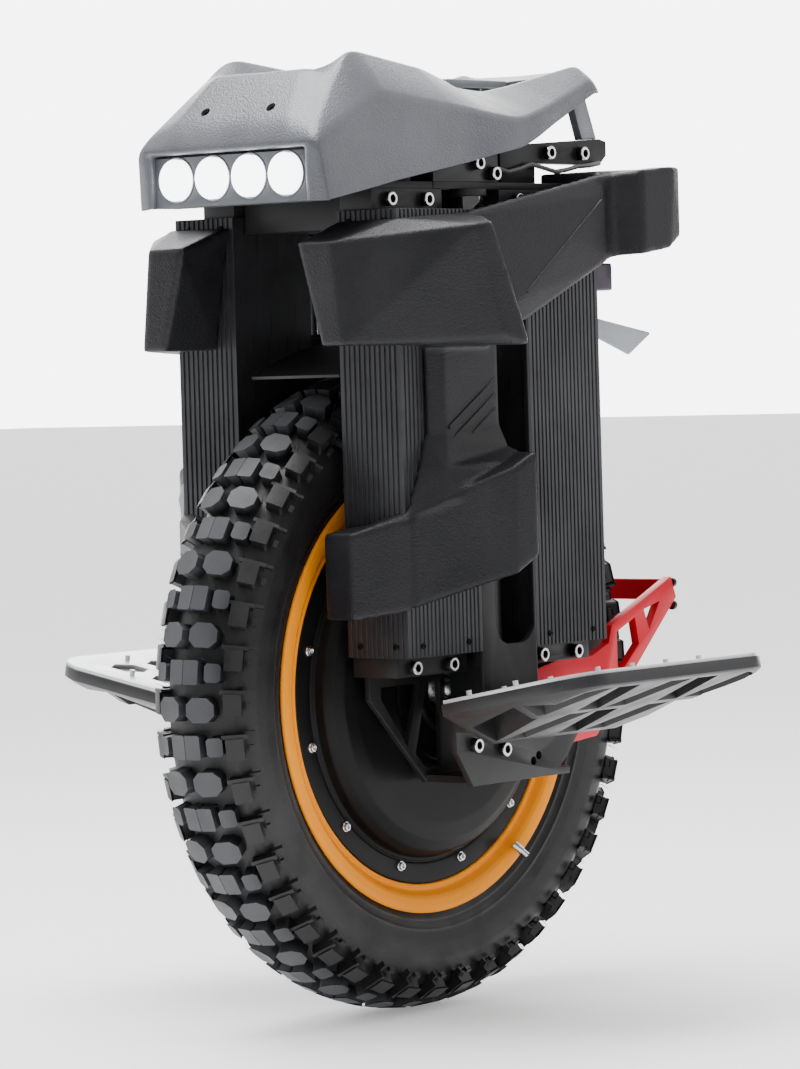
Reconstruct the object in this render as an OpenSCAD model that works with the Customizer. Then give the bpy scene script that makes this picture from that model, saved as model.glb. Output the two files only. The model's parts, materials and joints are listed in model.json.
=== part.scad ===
// Self-balancing suspension unicycle: hub-motor wheel on a telescopic fork between
// four finned battery columns, with folding pedals, side bumpers and a top shell.
// +X is the axle, -Y is the front, +Z is up. The tyre touches the ground at the origin.

/* [Wheel] */
// Outer radius of the tyre over its tread
tyre_r = 267; // [250:1:290]
// Half of the tyre's width
tyre_half_w = 41; // [38:0.5:44]
// Outer radius of the rim flange
rim_r = 187; // [180:1:200]
// Radius of the wheel axle
axle_r = 12; // [10:0.5:13]

/* [Suspension] */
// Upward travel of the wheel
travel = 80; // [40:1:84]
// Sideways distance from the middle to each fork leg
leg_x = 86.7; // [84:0.1:88]
// Radius of the polished fork tube
stanchion_r = 12.5; // [10:0.5:13]
// Radial gap between sliding or turning fits
run_gap = 0.05; // [0.02:0.01:0.1]

/* [Battery columns] */
// Width of a column, across the unicycle
column_w = 63; // [58:0.5:66]
// Depth of a column, front to back
column_d = 94; // [80:1:100]
// Height of a column, when the wheel's travel asks for no more
column_h = 356.6; // [340:0.1:390]
// Height of the columns' lower ends above the hub
column_lift = 33; // [33:1:43]
// Inner side face of a column from the middle
column_x = 55.4; // [54:0.1:57]
// Half of the gap between the front and the rear column
column_gap = 35; // [32:0.5:40]
// Wall of the extruded case
case_wall = 4; // [3:0.5:6]
// Depth of the cooling grooves
groove_d = 1.3; // [0.8:0.1:2]

/* [Pedals] */
// Width of a pedal's deck, outwards
pedal_w = 139; // [110:1:145]
// Length of a pedal's deck, front to back
pedal_l = 268; // [220:1:290]
// Upward tilt of the open pedal, in degrees
pedal_tilt = 10.5; // [4:0.5:14]
// Radius of the pedal's hinge pin
pin_r = 6; // [5:0.5:7]

/* [Top shell] */
// Wall of the moulded top shell
shell_wall = 3; // [2:0.5:4]
// Length of the hand hole in the shell
hand_hole_l = 84; // [76:1:90]

/* [Hidden] */
$fn = 64;

hub_z = tyre_r;
rim_half_w = 35;
rim_bore = rim_r - 24;
cover_x = 27;                        // outer face of the motor cover's flange
dome_x = 48;                         // outer face of the motor cover's dome
bearing_r = 26;
bolt_circle = rim_bore - 13;
leg_r = 18;
leg_bottom = hub_z - 24;
bore_z = hub_z + 18;                 // floor of the bore in a fork leg
stanchion_z = bore_z + travel + 5;
guard_r = tyre_r + 17;               // inner radius of the mudguard
guard_t = 2.5;
guard_half_w = column_x - 8.4;
guard_angle = 25;
stay_z = hub_z + guard_r + guard_t;
leg_top = stay_z + 6.5;
case_bottom = stay_z + 4.5 + travel + 5;
case_h = 31;
head_h = 17.4;
column_z = hub_z + column_lift;
column_out = column_x + column_w;
column_top = max(column_z + column_h, case_bottom + case_h - head_h);
column_run = column_top - column_z;
column_end = column_gap + column_d;
foot_h = 16;
foot_x = column_x + 1.6;
foot_out = 102;
head_out = 90;
deck_z = column_top + head_h;
deck_t = 6;
collar_h = 6;
crown_h = 24;
crown_out = leg_x + 4;
board_t = 4;
bolt_r = 4;
bolt_head_r = 6.5;
bolt_head_h = 6;
bolt_gap = 0.3;
frame_plate_t = 5;
frame_x = column_out - frame_plate_t;
hanger_t = 5;
hanger_front = -80;
hanger_rear = 90;
hanger_bottom = hub_z - 74;
hanger_top = column_z - foot_h;
hanger_out = column_out + 6;
floor_t = 6;
outer_top = hub_z - 5;
pin_x = column_out + 18;
pin_z = hub_z - 17;
lug_r = 12;
lug_w = 14;
knuckle_gap = 0.5;
deck_in = 14;                        // from the hinge to the pedal deck's inner edge
deck_up = 15;                        // from the hinge up to the deck's top
pedal_y = 7;                         // middle of the pedal, front to back
pedal_corner = 40;
grip_t = 3;
guard_x = foot_x + hanger_t + 5;
guard_plate_t = 8;
plate_y = tyre_r + 8;                // front face of the cross-plate behind the tyre
plate_t = 6;
handle_z = deck_z + 90;
handle_h = 7;
handle_w = 22;
handle_l = hand_hole_l - 4;
handle_front = 71;
post_w = 8;
lift_l = 20;
lift_travel = 2.5;
light_y = -190;                      // front face of the headlight panel
light_z = deck_z + 12;
lens_r = 18;
button_r = 8;
button_travel = 2;
cap_r = 11;
bumper_r = 7;                        // edge radius of the moulded bumpers
bumper_x = column_out + bumper_r;

// Stations of the shell: y, edge x and z, crease x and z, ridge x and z, middle z,
// with the heights above the deck
SHELL = [
    [-197, 97, -11, 93, 35, 60, 35, 35],
    [-182, 98, -10, 88, 48, 60, 59, 59],
    [-110, 102, 4, 64, 108, 60, 110, 94],
    [-40, 106, 17, 85, 86, 56, 103, 91],
    [15, 108, 27, 103, 66, 50, 94, 89],
    [37, 110, 32, 110, 59, 50, 85, 83],
    [75, 103, 43, 102, 66, 49, 83, 80],
    [120, 94, 57, 93, 76, 54, 93, 88],
    [195, 78, 81, 77, 94, 62, 109, 105]
];

// Both sides or one side: the left piece is the right one mirrored
module on_side(s) {
    if (s > 0) children();
    else mirror([1, 0, 0]) children();
}

module both_sides() {
    for (s = [1, -1]) on_side(s) children();
}

// A box from its lowest corner to its highest
module block(low, high) {
    translate(low) cube([high[0] - low[0], high[1] - low[1], high[2] - low[2]]);
}

// A plate standing across X, from outline points in Y and Z
module side_plate(x, t, points) {
    translate([x, 0, 0]) rotate([90, 0, 90]) linear_extrude(t) polygon(points);
}

// A round body along X about the wheel's axis, from points of radius and x
module turned(points) {
    translate([0, 0, hub_z]) rotate([0, 90, 0]) rotate_extrude($fn = 128) polygon(points);
}

module along_x(r, x0, x1) {
    translate([x0, 0, 0]) rotate([0, 90, 0]) cylinder(r = r, h = x1 - x0);
}

module along_y(r, y0, y1) {
    translate([0, y0, 0]) rotate([-90, 0, 0]) cylinder(r = r, h = y1 - y0);
}

// A solid with rounded edges round a few corner points
module rounded(points, r) {
    hull() for (p = points) translate(p) sphere(r = r, $fn = 16);
}

// A closed solid through rings of points, each ring with the same count
module loft(rings) {
    n = len(rings[0]);
    m = len(rings);
    points = [for (ring = rings) each ring];
    sides = [for (i = [0:m - 2], j = [0:n - 1])
        each [[i * n + j, i * n + (j + 1) % n, (i + 1) * n + j],
              [i * n + (j + 1) % n, (i + 1) * n + (j + 1) % n, (i + 1) * n + j]]];
    first = [for (j = [1:n - 2]) [0, j + 1, j]];
    last = [for (j = [1:n - 2]) [(m - 1) * n, (m - 1) * n + j, (m - 1) * n + j + 1]];
    polyhedron(points = points, faces = concat(sides, first, last));
}

// ---- wheel ----

function tyre_half() = [
    [rim_r - 9, rim_half_w - 5], [rim_r + 1, rim_half_w - 4.5], [rim_r + 3, rim_half_w - 1],
    [rim_r + 22, tyre_half_w - 2], [rim_r + 38, tyre_half_w], [tyre_r - 22, tyre_half_w],
    [tyre_r - 8, tyre_half_w - 3], [tyre_r - 2, tyre_half_w - 10], [tyre_r, tyre_half_w - 20]
];
function tyre_inside() = [
    [rim_r - 9, rim_half_w - 12], [rim_r + 6, rim_half_w - 8], [rim_r + 24, tyre_half_w - 9],
    [tyre_r - 34, tyre_half_w - 9], [tyre_r - 22, tyre_half_w - 18], [tyre_r - 20, 6]
];
function flipped(points) = [for (i = [len(points) - 1:-1:0]) [points[i][0], -points[i][1]]];

module tyre() {
    outer = tyre_half();
    inner = tyre_inside();
    color([0.05, 0.05, 0.055])
        turned(concat(outer, flipped(outer), [for (p = inner) [p[0], -p[1]]],
            [for (i = [len(inner) - 1:-1:0]) inner[i]]));
}

module rim() {
    half = [[rim_bore, rim_half_w - 8], [rim_bore + 3, rim_half_w - 4],
        [rim_r - 12, rim_half_w], [rim_r, rim_half_w], [rim_r, rim_half_w - 4],
        [rim_r - 9, rim_half_w - 5], [rim_r - 9, rim_half_w - 14],
        [rim_r - 17, rim_half_w - 19]];
    color([0.9, 0.52, 0.02]) turned(concat(half, flipped(half)));
}

module motor_cover(s) {
    color([0.06, 0.06, 0.065]) on_side(s) difference() {
        turned([[bearing_r, dome_x - 6], [96, dome_x - 6], [116, dome_x - 12],
            [127, cover_x - 5], [rim_bore, cover_x - 5], [rim_bore, cover_x],
            [134, cover_x], [124, dome_x - 7], [108, dome_x - 2], [90, dome_x],
            [36, dome_x], [34, dome_x + 4], [bearing_r, dome_x + 4]]);
        for (a = [15:30:345]) cover_bolt_place(a) along_x(2.5 + bolt_gap, 0, 60);
    }
}
module motor_cover_right() { motor_cover(1); }
module motor_cover_left() { motor_cover(-1); }

module cover_bolt_place(a) {
    translate([0, 0, hub_z]) rotate([a, 0, 0]) translate([0, 0, bolt_circle]) children();
}

module cover_bolts() {
    color("silver") both_sides() for (a = [15:30:345])
        cover_bolt_place(a) difference() {
            union() {
                along_x(4.2, cover_x, cover_x + 3);
                along_x(2.5, cover_x - 5, cover_x);
            }
            along_x(2, cover_x + 1.4, cover_x + 4);
        }
}

module valve_stem() {
    color("dimgray") translate([0, 0, hub_z]) rotate([215, 0, 0])
        translate([rim_half_w + 2.5, 0, rim_bore + 8]) rotate([0, 35, 0]) {
            cylinder(r = 4, h = 9);
            translate([0, 0, 9]) cylinder(r = 3, h = 6);
        }
}

module magnet_ring() {
    color("gray") turned([[rim_bore - 7, -20], [rim_bore, -20], [rim_bore, 20],
        [rim_bore - 7, 20]]);
}

module hub_bearings() {
    color("lightgray") both_sides() difference() {
        translate([0, 0, hub_z]) along_x(bearing_r, dome_x - 6, dome_x + 3);
        translate([0, 0, hub_z]) along_x(axle_r + run_gap, dome_x - 7, dome_x + 5);
    }
}

// ---- suspended carrier ----

axle_end = leg_x + leg_r + 2;

module axle() {
    color("silver") translate([0, 0, hub_z]) along_x(axle_r, -axle_end, axle_end);
}

module stator() {
    color([0.6, 0.35, 0.15]) translate([0, 0, hub_z]) difference() {
        along_x(rim_bore - 9, -17, 17);
        along_x(axle_r, -18, 18);
        for (a = [0:10:350]) rotate([a, 0, 0])
            block([-18, -2, rim_bore - 36], [18, 2, rim_bore]);
        for (a = [0:60:300]) rotate([a, 0, 0]) translate([0, 0, 74]) along_x(24, -18, 18);
    }
}

module axle_nuts() {
    color("silver") both_sides() translate([0, 0, hub_z]) difference() {
        along_x(15, leg_x + leg_r, leg_x + leg_r + 7, $fn = 6);
        along_x(axle_r, leg_x + leg_r - 1, axle_end);
    }
}

module fork_leg(s) {
    color([0.13, 0.13, 0.14]) on_side(s) difference() {
        union() {
            translate([leg_x, 0, leg_bottom]) cylinder(r = leg_r, h = leg_top - leg_bottom);
            block([leg_x - leg_r, -leg_r, leg_bottom], [leg_x + leg_r, leg_r, bore_z]);
        }
        translate([leg_x, 0, bore_z])
            cylinder(r = stanchion_r + run_gap, h = leg_top - bore_z + 1);
        translate([0, 0, hub_z]) along_x(axle_r, 40, 120);
    }
}
module fork_leg_right() { fork_leg(1); }
module fork_leg_left() { fork_leg(-1); }

module mudguard() {
    color([0.07, 0.07, 0.075]) translate([0, 0, hub_z]) rotate([0, 90, 0])
        rotate([0, 0, 180 - guard_angle])
            rotate_extrude(angle = 2 * guard_angle, $fn = 128)
                translate([guard_r, -guard_half_w]) square([guard_t, 2 * guard_half_w]);
}

module mudguard_stays() {
    color([0.1, 0.1, 0.11]) both_sides() difference() {
        union() {
            translate([leg_x, 0, stay_z - 3]) cylinder(r = leg_r + 5, h = 7);
            block([30, -14, stay_z], [leg_x, 14, stay_z + 4]);
        }
        translate([leg_x, 0, stay_z - 4]) cylinder(r = leg_r, h = 10);
    }
}

module motor_cable() {
    cable_x = foot_x + hanger_t + 5;
    color([0.08, 0.08, 0.08])
        translate([cable_x, leg_r + 3.6, bore_z - 30]) cylinder(r = 3.5, h = 210);
}

// ---- battery columns ----

// Plan of one case: its corner nearest the middle of the unicycle is at the origin
module case_plan() {
    side_pitch = column_d / 19;
    front_pitch = column_w / 12;
    difference() {
        square([column_w, column_d]);
        for (i = [1:18]) translate([column_w - groove_d, i * side_pitch - 1])
            square([groove_d + 1, 2]);
        for (i = [1:11]) translate([i * front_pitch - 1, column_d - groove_d])
            square([2, groove_d + 1]);
    }
}

module at_column(sx, sy) {
    mirror([sx < 0 ? 1 : 0, 0, 0]) mirror([0, sy < 0 ? 1 : 0, 0])
        translate([column_x, column_gap, 0]) children();
}

module battery_case(sx, sy) {
    color([0.08, 0.08, 0.085]) at_column(sx, sy) translate([0, 0, column_z])
        linear_extrude(column_run) difference() {
            case_plan();
            translate([case_wall, case_wall])
                square([column_w - 2 * case_wall, column_d - 2 * case_wall]);
        }
}
module battery_case_front_right() { battery_case(1, -1); }
module battery_case_front_left() { battery_case(-1, -1); }
module battery_case_rear_right() { battery_case(1, 1); }
module battery_case_rear_left() { battery_case(-1, 1); }

module each_column() {
    for (sx = [1, -1], sy = [1, -1]) at_column(sx, sy) children();
}

end_plate_t = 5;

module battery_end_plates() {
    color([0.1, 0.1, 0.1]) each_column() for (z = [column_z, column_top - end_plate_t])
        block([case_wall, case_wall, z],
            [column_w - case_wall, column_d - case_wall, z + end_plate_t]);
}

module battery_packs() {
    in = case_wall + 1.5;
    color([0.1, 0.3, 0.6]) each_column()
        block([in, in, column_z + end_plate_t],
            [column_w - in, column_d - in, column_top - end_plate_t]);
}

// ---- frame ----

bolt_ys = [column_gap + 24, column_gap + 70];

module column_feet() {
    color([0.09, 0.09, 0.1]) both_sides() for (sy = [1, -1]) mirror([0, sy < 0 ? 1 : 0, 0])
        difference() {
            block([foot_x, column_gap + 2, column_z - foot_h],
                [foot_out, column_end - 4, column_z]);
            for (y = bolt_ys) translate([0, y, column_z - foot_h / 2 - 1])
                along_x(bolt_r + bolt_gap, foot_out - 18, foot_out + 1);
        }
}

module column_heads() {
    color([0.09, 0.09, 0.1]) both_sides() for (sy = [1, -1]) mirror([0, sy < 0 ? 1 : 0, 0])
        difference() {
            block([foot_x, column_gap + 2, column_top], [head_out, column_end - 4, deck_z]);
            for (y = bolt_ys) translate([0, y, column_top + head_h / 2])
                along_x(bolt_r + bolt_gap, head_out - 18, head_out + 1);
        }
}

module socket_bolt(x, l) {
    difference() {
        union() {
            along_x(bolt_r, x - l, x);
            along_x(bolt_head_r, x, x + bolt_head_h);
        }
        along_x(3.4, x + 2, x + bolt_head_h + 1, $fn = 6);
    }
}

module frame_bolts() {
    color("silver") both_sides() {
        for (sy = [1, -1], y = bolt_ys) {
            translate([0, sy * y, column_z - foot_h / 2 - 1]) socket_bolt(foot_out, 16);
            translate([0, sy * y, column_top + head_h / 2]) socket_bolt(head_out, 16);
        }
        for (p = crown_bolt_places) translate([0, p[0], p[1]]) socket_bolt(crown_out, 14);
        for (p = hanger_bolt_places) translate([0, p[0], p[1]]) socket_bolt(hanger_out, 5.5);
        for (p = guard_bolt_places) translate([0, p[0], p[1]])
            socket_bolt(guard_x + guard_plate_t, guard_plate_t + 4);
        for (p = bracket_bolt_places) translate([0, p[0], p[1]]) socket_bolt(bracket_out, 8);
    }
}

crown_bolt_places = [[7, deck_z + deck_t + 15.5], [28, deck_z + deck_t + 7]];
hanger_bolt_places = [[-58, hub_z - 41], [-22, hub_z - 47]];
guard_bolt_places = [[46, hub_z - 32], [84, hub_z - 20]];
bracket_out = 66;
bracket_in = 54;
bracket_z = [deck_z + deck_t + 18, deck_z + deck_t + 36];
bracket_bolt_places = [[133, (bracket_z[0] + bracket_z[1]) / 2],
    [179, (bracket_z[0] + bracket_z[1]) / 2]];

// Tall plate between the columns, with a long window on the fork leg
module side_frame(s) {
    window_low = outer_top + 42;
    window_r = 18;
    color([0.08, 0.08, 0.085]) on_side(s) difference() {
        block([frame_x, -column_gap, outer_top - 30], [column_out, column_gap, column_top]);
        for (dy = [-1, 1], z = [window_low + window_r, column_top - 70])
            translate([0, 7 + dy * (25 - window_r), z]) along_x(window_r, frame_x - 1, column_out + 1);
        block([frame_x - 1, -18, window_low + window_r], [column_out + 1, 32, column_top - 70]);
        block([frame_x - 1, -18 + window_r, window_low],
            [column_out + 1, 32 - window_r, column_top - 70 + window_r]);
    }
}
module side_frame_right() { side_frame(1); }
module side_frame_left() { side_frame(-1); }

module stanchion(s) {
    color([0.85, 0.86, 0.88]) on_side(s) translate([leg_x, 0, stanchion_z]) difference() {
        cylinder(r = stanchion_r, h = deck_z - collar_h - stanchion_z);
        translate([0, 0, 8]) cylinder(r = stanchion_r - 2.5, h = column_run);
    }
}
module stanchion_right() { stanchion(1); }
module stanchion_left() { stanchion(-1); }

module stanchion_collars() {
    color([0.05, 0.05, 0.05]) both_sides() translate([leg_x, 0, deck_z - collar_h])
        cylinder(r = stanchion_r + 3, h = collar_h);
}

module top_deck() {
    color([0.07, 0.07, 0.075]) {
        block([-head_out, -column_end + 4, deck_z], [head_out, column_end - 4, deck_z + deck_t]);
        block([-crown_out, -48, deck_z], [crown_out, 36, deck_z + deck_t]);
    }
}

module crown_blocks() {
    color([0.12, 0.12, 0.13]) both_sides() difference() {
        block([66.5, -48, deck_z + deck_t], [crown_out, 36, deck_z + deck_t + crown_h]);
        for (p = crown_bolt_places) translate([0, p[0], p[1]])
            along_x(bolt_r + bolt_gap, crown_out - 16, crown_out + 1);
    }
}

// ---- electronics and lights ----

case_x = column_x - 1.4;
case_y = column_end - 14;
button_x = -25;
cap_x = 25;
panel_z = (case_bottom + deck_z) / 2;

module controller_case() {
    wall = 3;
    color([0.1, 0.1, 0.11]) difference() {
        block([-case_x, -case_y, case_bottom], [case_x, case_y, deck_z]);
        block([-case_x + wall, -case_y + wall, case_bottom + wall],
            [case_x - wall, case_y - wall, deck_z - 2]);
        translate([button_x, 0, panel_z])
            along_y(button_r + bolt_gap, case_y - wall - 1, case_y + 1);
        translate([cap_x, 0, panel_z - 1]) along_y(cap_r - 3, case_y - wall - 1, case_y + 1);
    }
}

module controller_board() {
    color("green")
        block([-case_x + 6, -case_y + 8, case_bottom + 3],
            [case_x - 6, case_y - 24, case_bottom + 3 + board_t]);
}

module power_button() {
    color([0.7, 0.1, 0.1]) translate([button_x, 0, panel_z])
        along_y(button_r, case_y - 3, case_y + button_travel + 1);
}

module charge_cap() {
    color([0.1, 0.1, 0.1]) translate([cap_x, 0, panel_z - 1]) {
        along_y(cap_r, case_y + 0.3, case_y + 3);
        block([-5, case_y + 0.3, cap_r - 3], [5, case_y + 3, cap_r + 3]);
    }
}

lens_xs = [-58.5, -19.5, 19.5, 58.5];

module headlight_housing() {
    color([0.35, 0.36, 0.38]) difference() {
        union() {
            block([-82, light_y, light_z - 22], [82, light_y + 24, light_z + 18]);
            both_sides() block([50, light_y + 24, deck_z], [62, -column_end + 4, deck_z + deck_t]);
        }
        for (x = lens_xs) translate([x, 0, light_z]) along_y(lens_r, light_y - 1, light_y + 8);
    }
}

module headlight_lenses() {
    color("white") for (x = lens_xs) translate([x, 0, light_z])
        along_y(lens_r, light_y - 3, light_y + 8);
}

module tail_light() {
    color([0.25, 0.05, 0.2]) block([-column_out + 8, column_end, column_top - 66.6],
        [column_out - 8, column_end + 32, column_top - 43.6]);
}

module rear_visor() {
    edge = column_end;
    top = column_top - 70.6;
    color([0.55, 0.57, 0.6]) {
        side_plate(-46, 92, [[edge, top], [edge, top - 3], [edge + 104, top - 23],
            [edge + 168, top - 34], [edge + 168, top - 31], [edge + 104, top - 20]]);
        both_sides() side_plate(43, 3, [[edge, top - 1], [edge + 168, top - 33],
            [edge + 138, top - 50], [edge + 80, top - 30], [edge, top - 12]]);
    }
}

// ---- top shell and handle ----

function shell_ring(s, wall, y, drop) =
    let (top = deck_z - wall, right = [[s[1] - wall, y, deck_z + s[2] - drop],
        [s[3] - wall, y, top + s[4]], [s[5] - wall, y, top + s[6]]])
    concat(right, [[0, y, top + s[7]]],
        [for (i = [2:-1:0]) [-right[i][0], y, right[i][2]]]);

shell_screw_at = [35, -190, deck_z + 48];

module top_shell() {
    last = len(SHELL) - 1;
    hole_mid = handle_front + handle_l / 2;
    post_z = deck_z + deck_t + crown_h;
    color([0.16, 0.165, 0.18]) {
        difference() {
            loft([for (s = SHELL) shell_ring(s, 0, s[0], 0)]);
            loft([for (i = [0:last]) shell_ring(SHELL[i], shell_wall,
                SHELL[i][0] + (i == 0 ? shell_wall : i == last ? -shell_wall : 0), 20)]);
            block([-84, -210, deck_z - 34], [84, -185, light_z + 20]);
            block([-36, hole_mid - hand_hole_l / 2, deck_z + 26],
                [36, hole_mid + hand_hole_l / 2, deck_z + 126]);
            both_sides() translate(shell_screw_at) rotate([-30, 0, 0]) cylinder(r = 4, h = 40);
        }
        both_sides() translate([84, -6, post_z]) cylinder(r = 5, h = deck_z + 79 - post_z);
    }
}

module shell_screws() {
    color([0.1, 0.1, 0.1]) both_sides() translate(shell_screw_at) rotate([-30, 0, 0])
        cylinder(r = 3.6, h = 14);
}

module handle_bar() {
    mid = handle_front + handle_l / 2;
    color([0.6, 0.62, 0.65]) difference() {
        block([-handle_w / 2, handle_front, handle_z],
            [handle_w / 2, handle_front + handle_l, handle_z + handle_h]);
        block([-6, mid - lift_l / 2 - 0.3, handle_z - 1],
            [6, mid + lift_l / 2 + 0.3, handle_z + lift_travel + 1]);
    }
}

module lift_button() {
    mid = handle_front + handle_l / 2;
    color([0.7, 0.1, 0.1]) block([-5.7, mid - lift_l / 2, handle_z - 3],
        [5.7, mid + lift_l / 2, handle_z + 0.6]);
}

module handle_posts() {
    color([0.1, 0.1, 0.11])
        for (y = [handle_front, handle_front + handle_l - post_w]) {
            block([-handle_w / 2, y, deck_z + deck_t], [handle_w / 2, y + post_w, handle_z]);
            block([-32, y, deck_z + deck_t], [32, y + post_w, deck_z + deck_t + 8]);
        }
}

module tail_brackets() {
    color([0.08, 0.08, 0.085]) both_sides() difference() {
        union() {
            side_plate(bracket_in, bracket_out - bracket_in, [[70, bracket_z[0]],
                [205, bracket_z[0]], [215, bracket_z[0] + 8], [215, bracket_z[1] + 2],
                [205, bracket_z[1] + 4], [70, bracket_z[1] - 4]]);
            block([bracket_in, 70, deck_z + deck_t], [bracket_out, 116, bracket_z[0]]);
        }
        for (p = bracket_bolt_places) translate([0, p[0], p[1]])
            along_x(bolt_r + bolt_gap, bracket_out - 10, bracket_out + 1);
    }
}

module tail_struts() {
    color([0.6, 0.62, 0.64]) both_sides() side_plate(bracket_in + 1, 8,
        [[186, bracket_z[1] + 3], [206, bracket_z[1] + 4.1], [192, deck_z + 80.5],
            [174, deck_z + 77]]);
}

// Grey lead clipped along the bracket, from the controller to the tail
CABLE = [for (p = [[70, 60, 19], [71, 74, 16], [71, 90, 19], [70, 106, 23], [71, 122, 20],
    [71, 138, 17], [71, 154, 19], [70, 170, 22], [70, 186, 23], [70, 200, 25]])
    [p[0], p[1], deck_z + p[2]]];
cable_r = 2;

module rear_cable() {
    color([0.45, 0.45, 0.46]) loft([for (p = CABLE)
        [for (a = [0:45:315]) [p[0] + cable_r * cos(a), p[1], p[2] + cable_r * sin(a)]]]);
}

// ---- bumpers ----

module bumper(s) {
    t = column_top;
    l = column_z;
    c = bumper_x;
    f = -column_end - bumper_r;      // middle of the radius on the column's front face
    b = column_end + bumper_r;
    upper_f = -column_end - 48;
    lower_f = -column_end - 21;
    color([0.1, 0.1, 0.11]) on_side(s) {
        // upper front block, round the corner of the column
        rounded([[69, upper_f, t - 36], [91, upper_f, t - 36], [90, upper_f, t - 99],
            [99, upper_f, t - 99], [66, f, t - 15], [c + 8, f, t - 15], [80, f, t - 99],
            [c + 8, f, t - 99]], bumper_r);
        rounded([[91, upper_f, t - 36], [99, upper_f, t - 99], [c, f, t - 15],
            [c, f, t - 99], [c + 43, -89, t - 23], [c + 47, -62, t - 95], [c + 41, -76, t - 21],
            [c + 51, -50, t - 101], [c, -44, t - 101], [c, -52, t - 9],
            [c + 23, -40, t - 101], [c + 17, -56, t - 16]], bumper_r);
        // band along the side
        rounded([[c, -60, t - 16], [c, 130, t + 19], [c + 2, -60, t - 22],
            [c + 2, 126, t + 10], [c + 2, 10, t - 71], [c, -40, t - 96], [c + 2, 20, t - 84],
            [c, 130, t - 43], [c + 2, 126, t - 43]], bumper_r);
        // rear block, round the corner of the rear column
        rounded([[c, 130, t - 33], [c, 130, t + 19], [c + 20.6, 150, t - 31],
            [c + 20.6, 150, t + 25], [c + 22.6, 188, t - 27], [c + 22.6, 188, t + 26],
            [c + 17.6, 198, t - 18], [c + 17.6, 198, t + 26],
            [c, 198, t - 18], [c, 198, t + 27], [c, 186, t - 27]], bumper_r);
        rounded([[64, b, t - 34], [64, b, t + 25], [64, 198, t - 18], [64, 198, t + 27],
            [c + 6, b, t - 34], [c + 6, b, t + 25], [c + 6, 198, t - 18],
            [c + 6, 198, t + 27]], bumper_r);
        // neck between the upper and the lower block, and the slope at its foot
        rounded([[c - 3, -93, l + 110], [c - 3, -27, l + 120], [c - 3, -93, t - 97],
            [c - 3, -27, t - 97], [c, -88, l + 110], [c, -27, l + 120], [c, -88, t - 97],
            [c, -27, t - 97]], bumper_r);
        rounded([[c, -90, l + 168], [c, -27, l + 180], [c, -112, l + 104], [c, -24, l + 150],
            [c + 20, -100, l + 112], [c + 38, -66, l + 136], [c + 40, -48, l + 146],
            [c + 24, -32, l + 150]], bumper_r);
        // lower front block
        rounded([[64, lower_f, l + 35], [64, lower_f, l + 90], [82, lower_f, l + 35],
            [82, lower_f, l + 90], [64, f, l + 37], [64, f, l + 96], [c + 8, f, l + 42],
            [c + 8, f, l + 104], [c + 50, -62, l + 73], [c + 49, -62, l + 142],
            [c + 52, -46, l + 87], [c + 51, -47, l + 154], [c, -22, l + 74],
            [c, -22, l + 152], [c + 15, -24, l + 76], [c + 15, -24, l + 155]], bumper_r);
    }
}
module bumper_clear(s) {
    difference() {
        bumper(s);
        on_side(s) block([40, -column_end, column_z], [column_out, column_end, column_top + 64]);
    }
}
module bumper_right() { bumper_clear(1); }
module bumper_left() { bumper_clear(-1); }

// ---- pedals and their hangers ----

lug_ys = [hanger_front, hanger_rear - lug_w];

module hanger(s) {
    slot = axle_r + 5;
    color([0.08, 0.08, 0.085]) on_side(s) difference() {
        union() {
            side_plate(foot_x, hanger_t, [[-112, hanger_top], [-112, hanger_top - 20],
                [-44, hanger_bottom], [hanger_rear, hanger_bottom],
                [118, hanger_top - 12], [118, hanger_top]]);
            block([foot_x, -44, hanger_bottom],
                [hanger_out, hanger_rear - 24, hanger_bottom + floor_t]);
            side_plate(column_out, hanger_out - column_out,
                [[hanger_front, outer_top], [hanger_front, hub_z - 44], [-60, hanger_bottom],
                [44, hanger_bottom], [60, hub_z - 62], [hanger_rear, hub_z - 30],
                [hanger_rear, outer_top]]);
            for (y = lug_ys) translate([pin_x, 0, pin_z]) {
                along_y(lug_r, y, y + lug_w);
                block([column_out - pin_x, y, -lug_r], [0, y + lug_w, lug_r]);
            }
            for (p = guard_bolt_places) translate([0, p[0], p[1]])
                along_x(9, foot_x + hanger_t, guard_x);
        }
        block([foot_x - 1, -slot, hub_z - slot], [foot_x + hanger_t + 1, slot, hub_z + 53]);
        for (y = lug_ys) translate([pin_x, 0, pin_z]) along_y(pin_r, y - 1, y + lug_w + 1);
        for (p = guard_bolt_places) translate([0, p[0], p[1]])
            along_x(bolt_r + bolt_gap, guard_x - 6, guard_x + 1);
        for (p = hanger_bolt_places) translate([0, p[0], p[1]])
            along_x(bolt_r + bolt_gap, column_out - 1, hanger_out + 1);
        side_plate(foot_x - 1, hanger_t + 2, [[-98, hanger_top - 10], [-98, hanger_top - 20],
            [-66, hub_z - 44], [-50, hanger_top - 10]]);
        side_plate(foot_x - 1, hanger_t + 2, [[-40, hanger_top - 10], [-57, hub_z - 50],
            [-44, hub_z - 62], [-24, hub_z - 62], [-24, hanger_top - 10]]);
        translate([0, 22, hub_z - 58]) rotate([30, 0, 0]) for (d = [-4, 4])
            translate([0, d, 0]) along_x(3.5, column_out - 1, hanger_out + 1);
    }
}
module hanger_right() { hanger(1); }
module hanger_left() { hanger(-1); }

module pedal_pins() {
    color("silver") both_sides() translate([pin_x, 0, pin_z])
        along_y(pin_r, hanger_front - 4, hanger_rear + 4);
}

// The pedal's own frame: u outwards along the deck, y, and up from the hinge
module at_pedal(s) {
    on_side(s) translate([pin_x, 0, pin_z]) rotate([0, -pedal_tilt, 0]) children();
}

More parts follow.
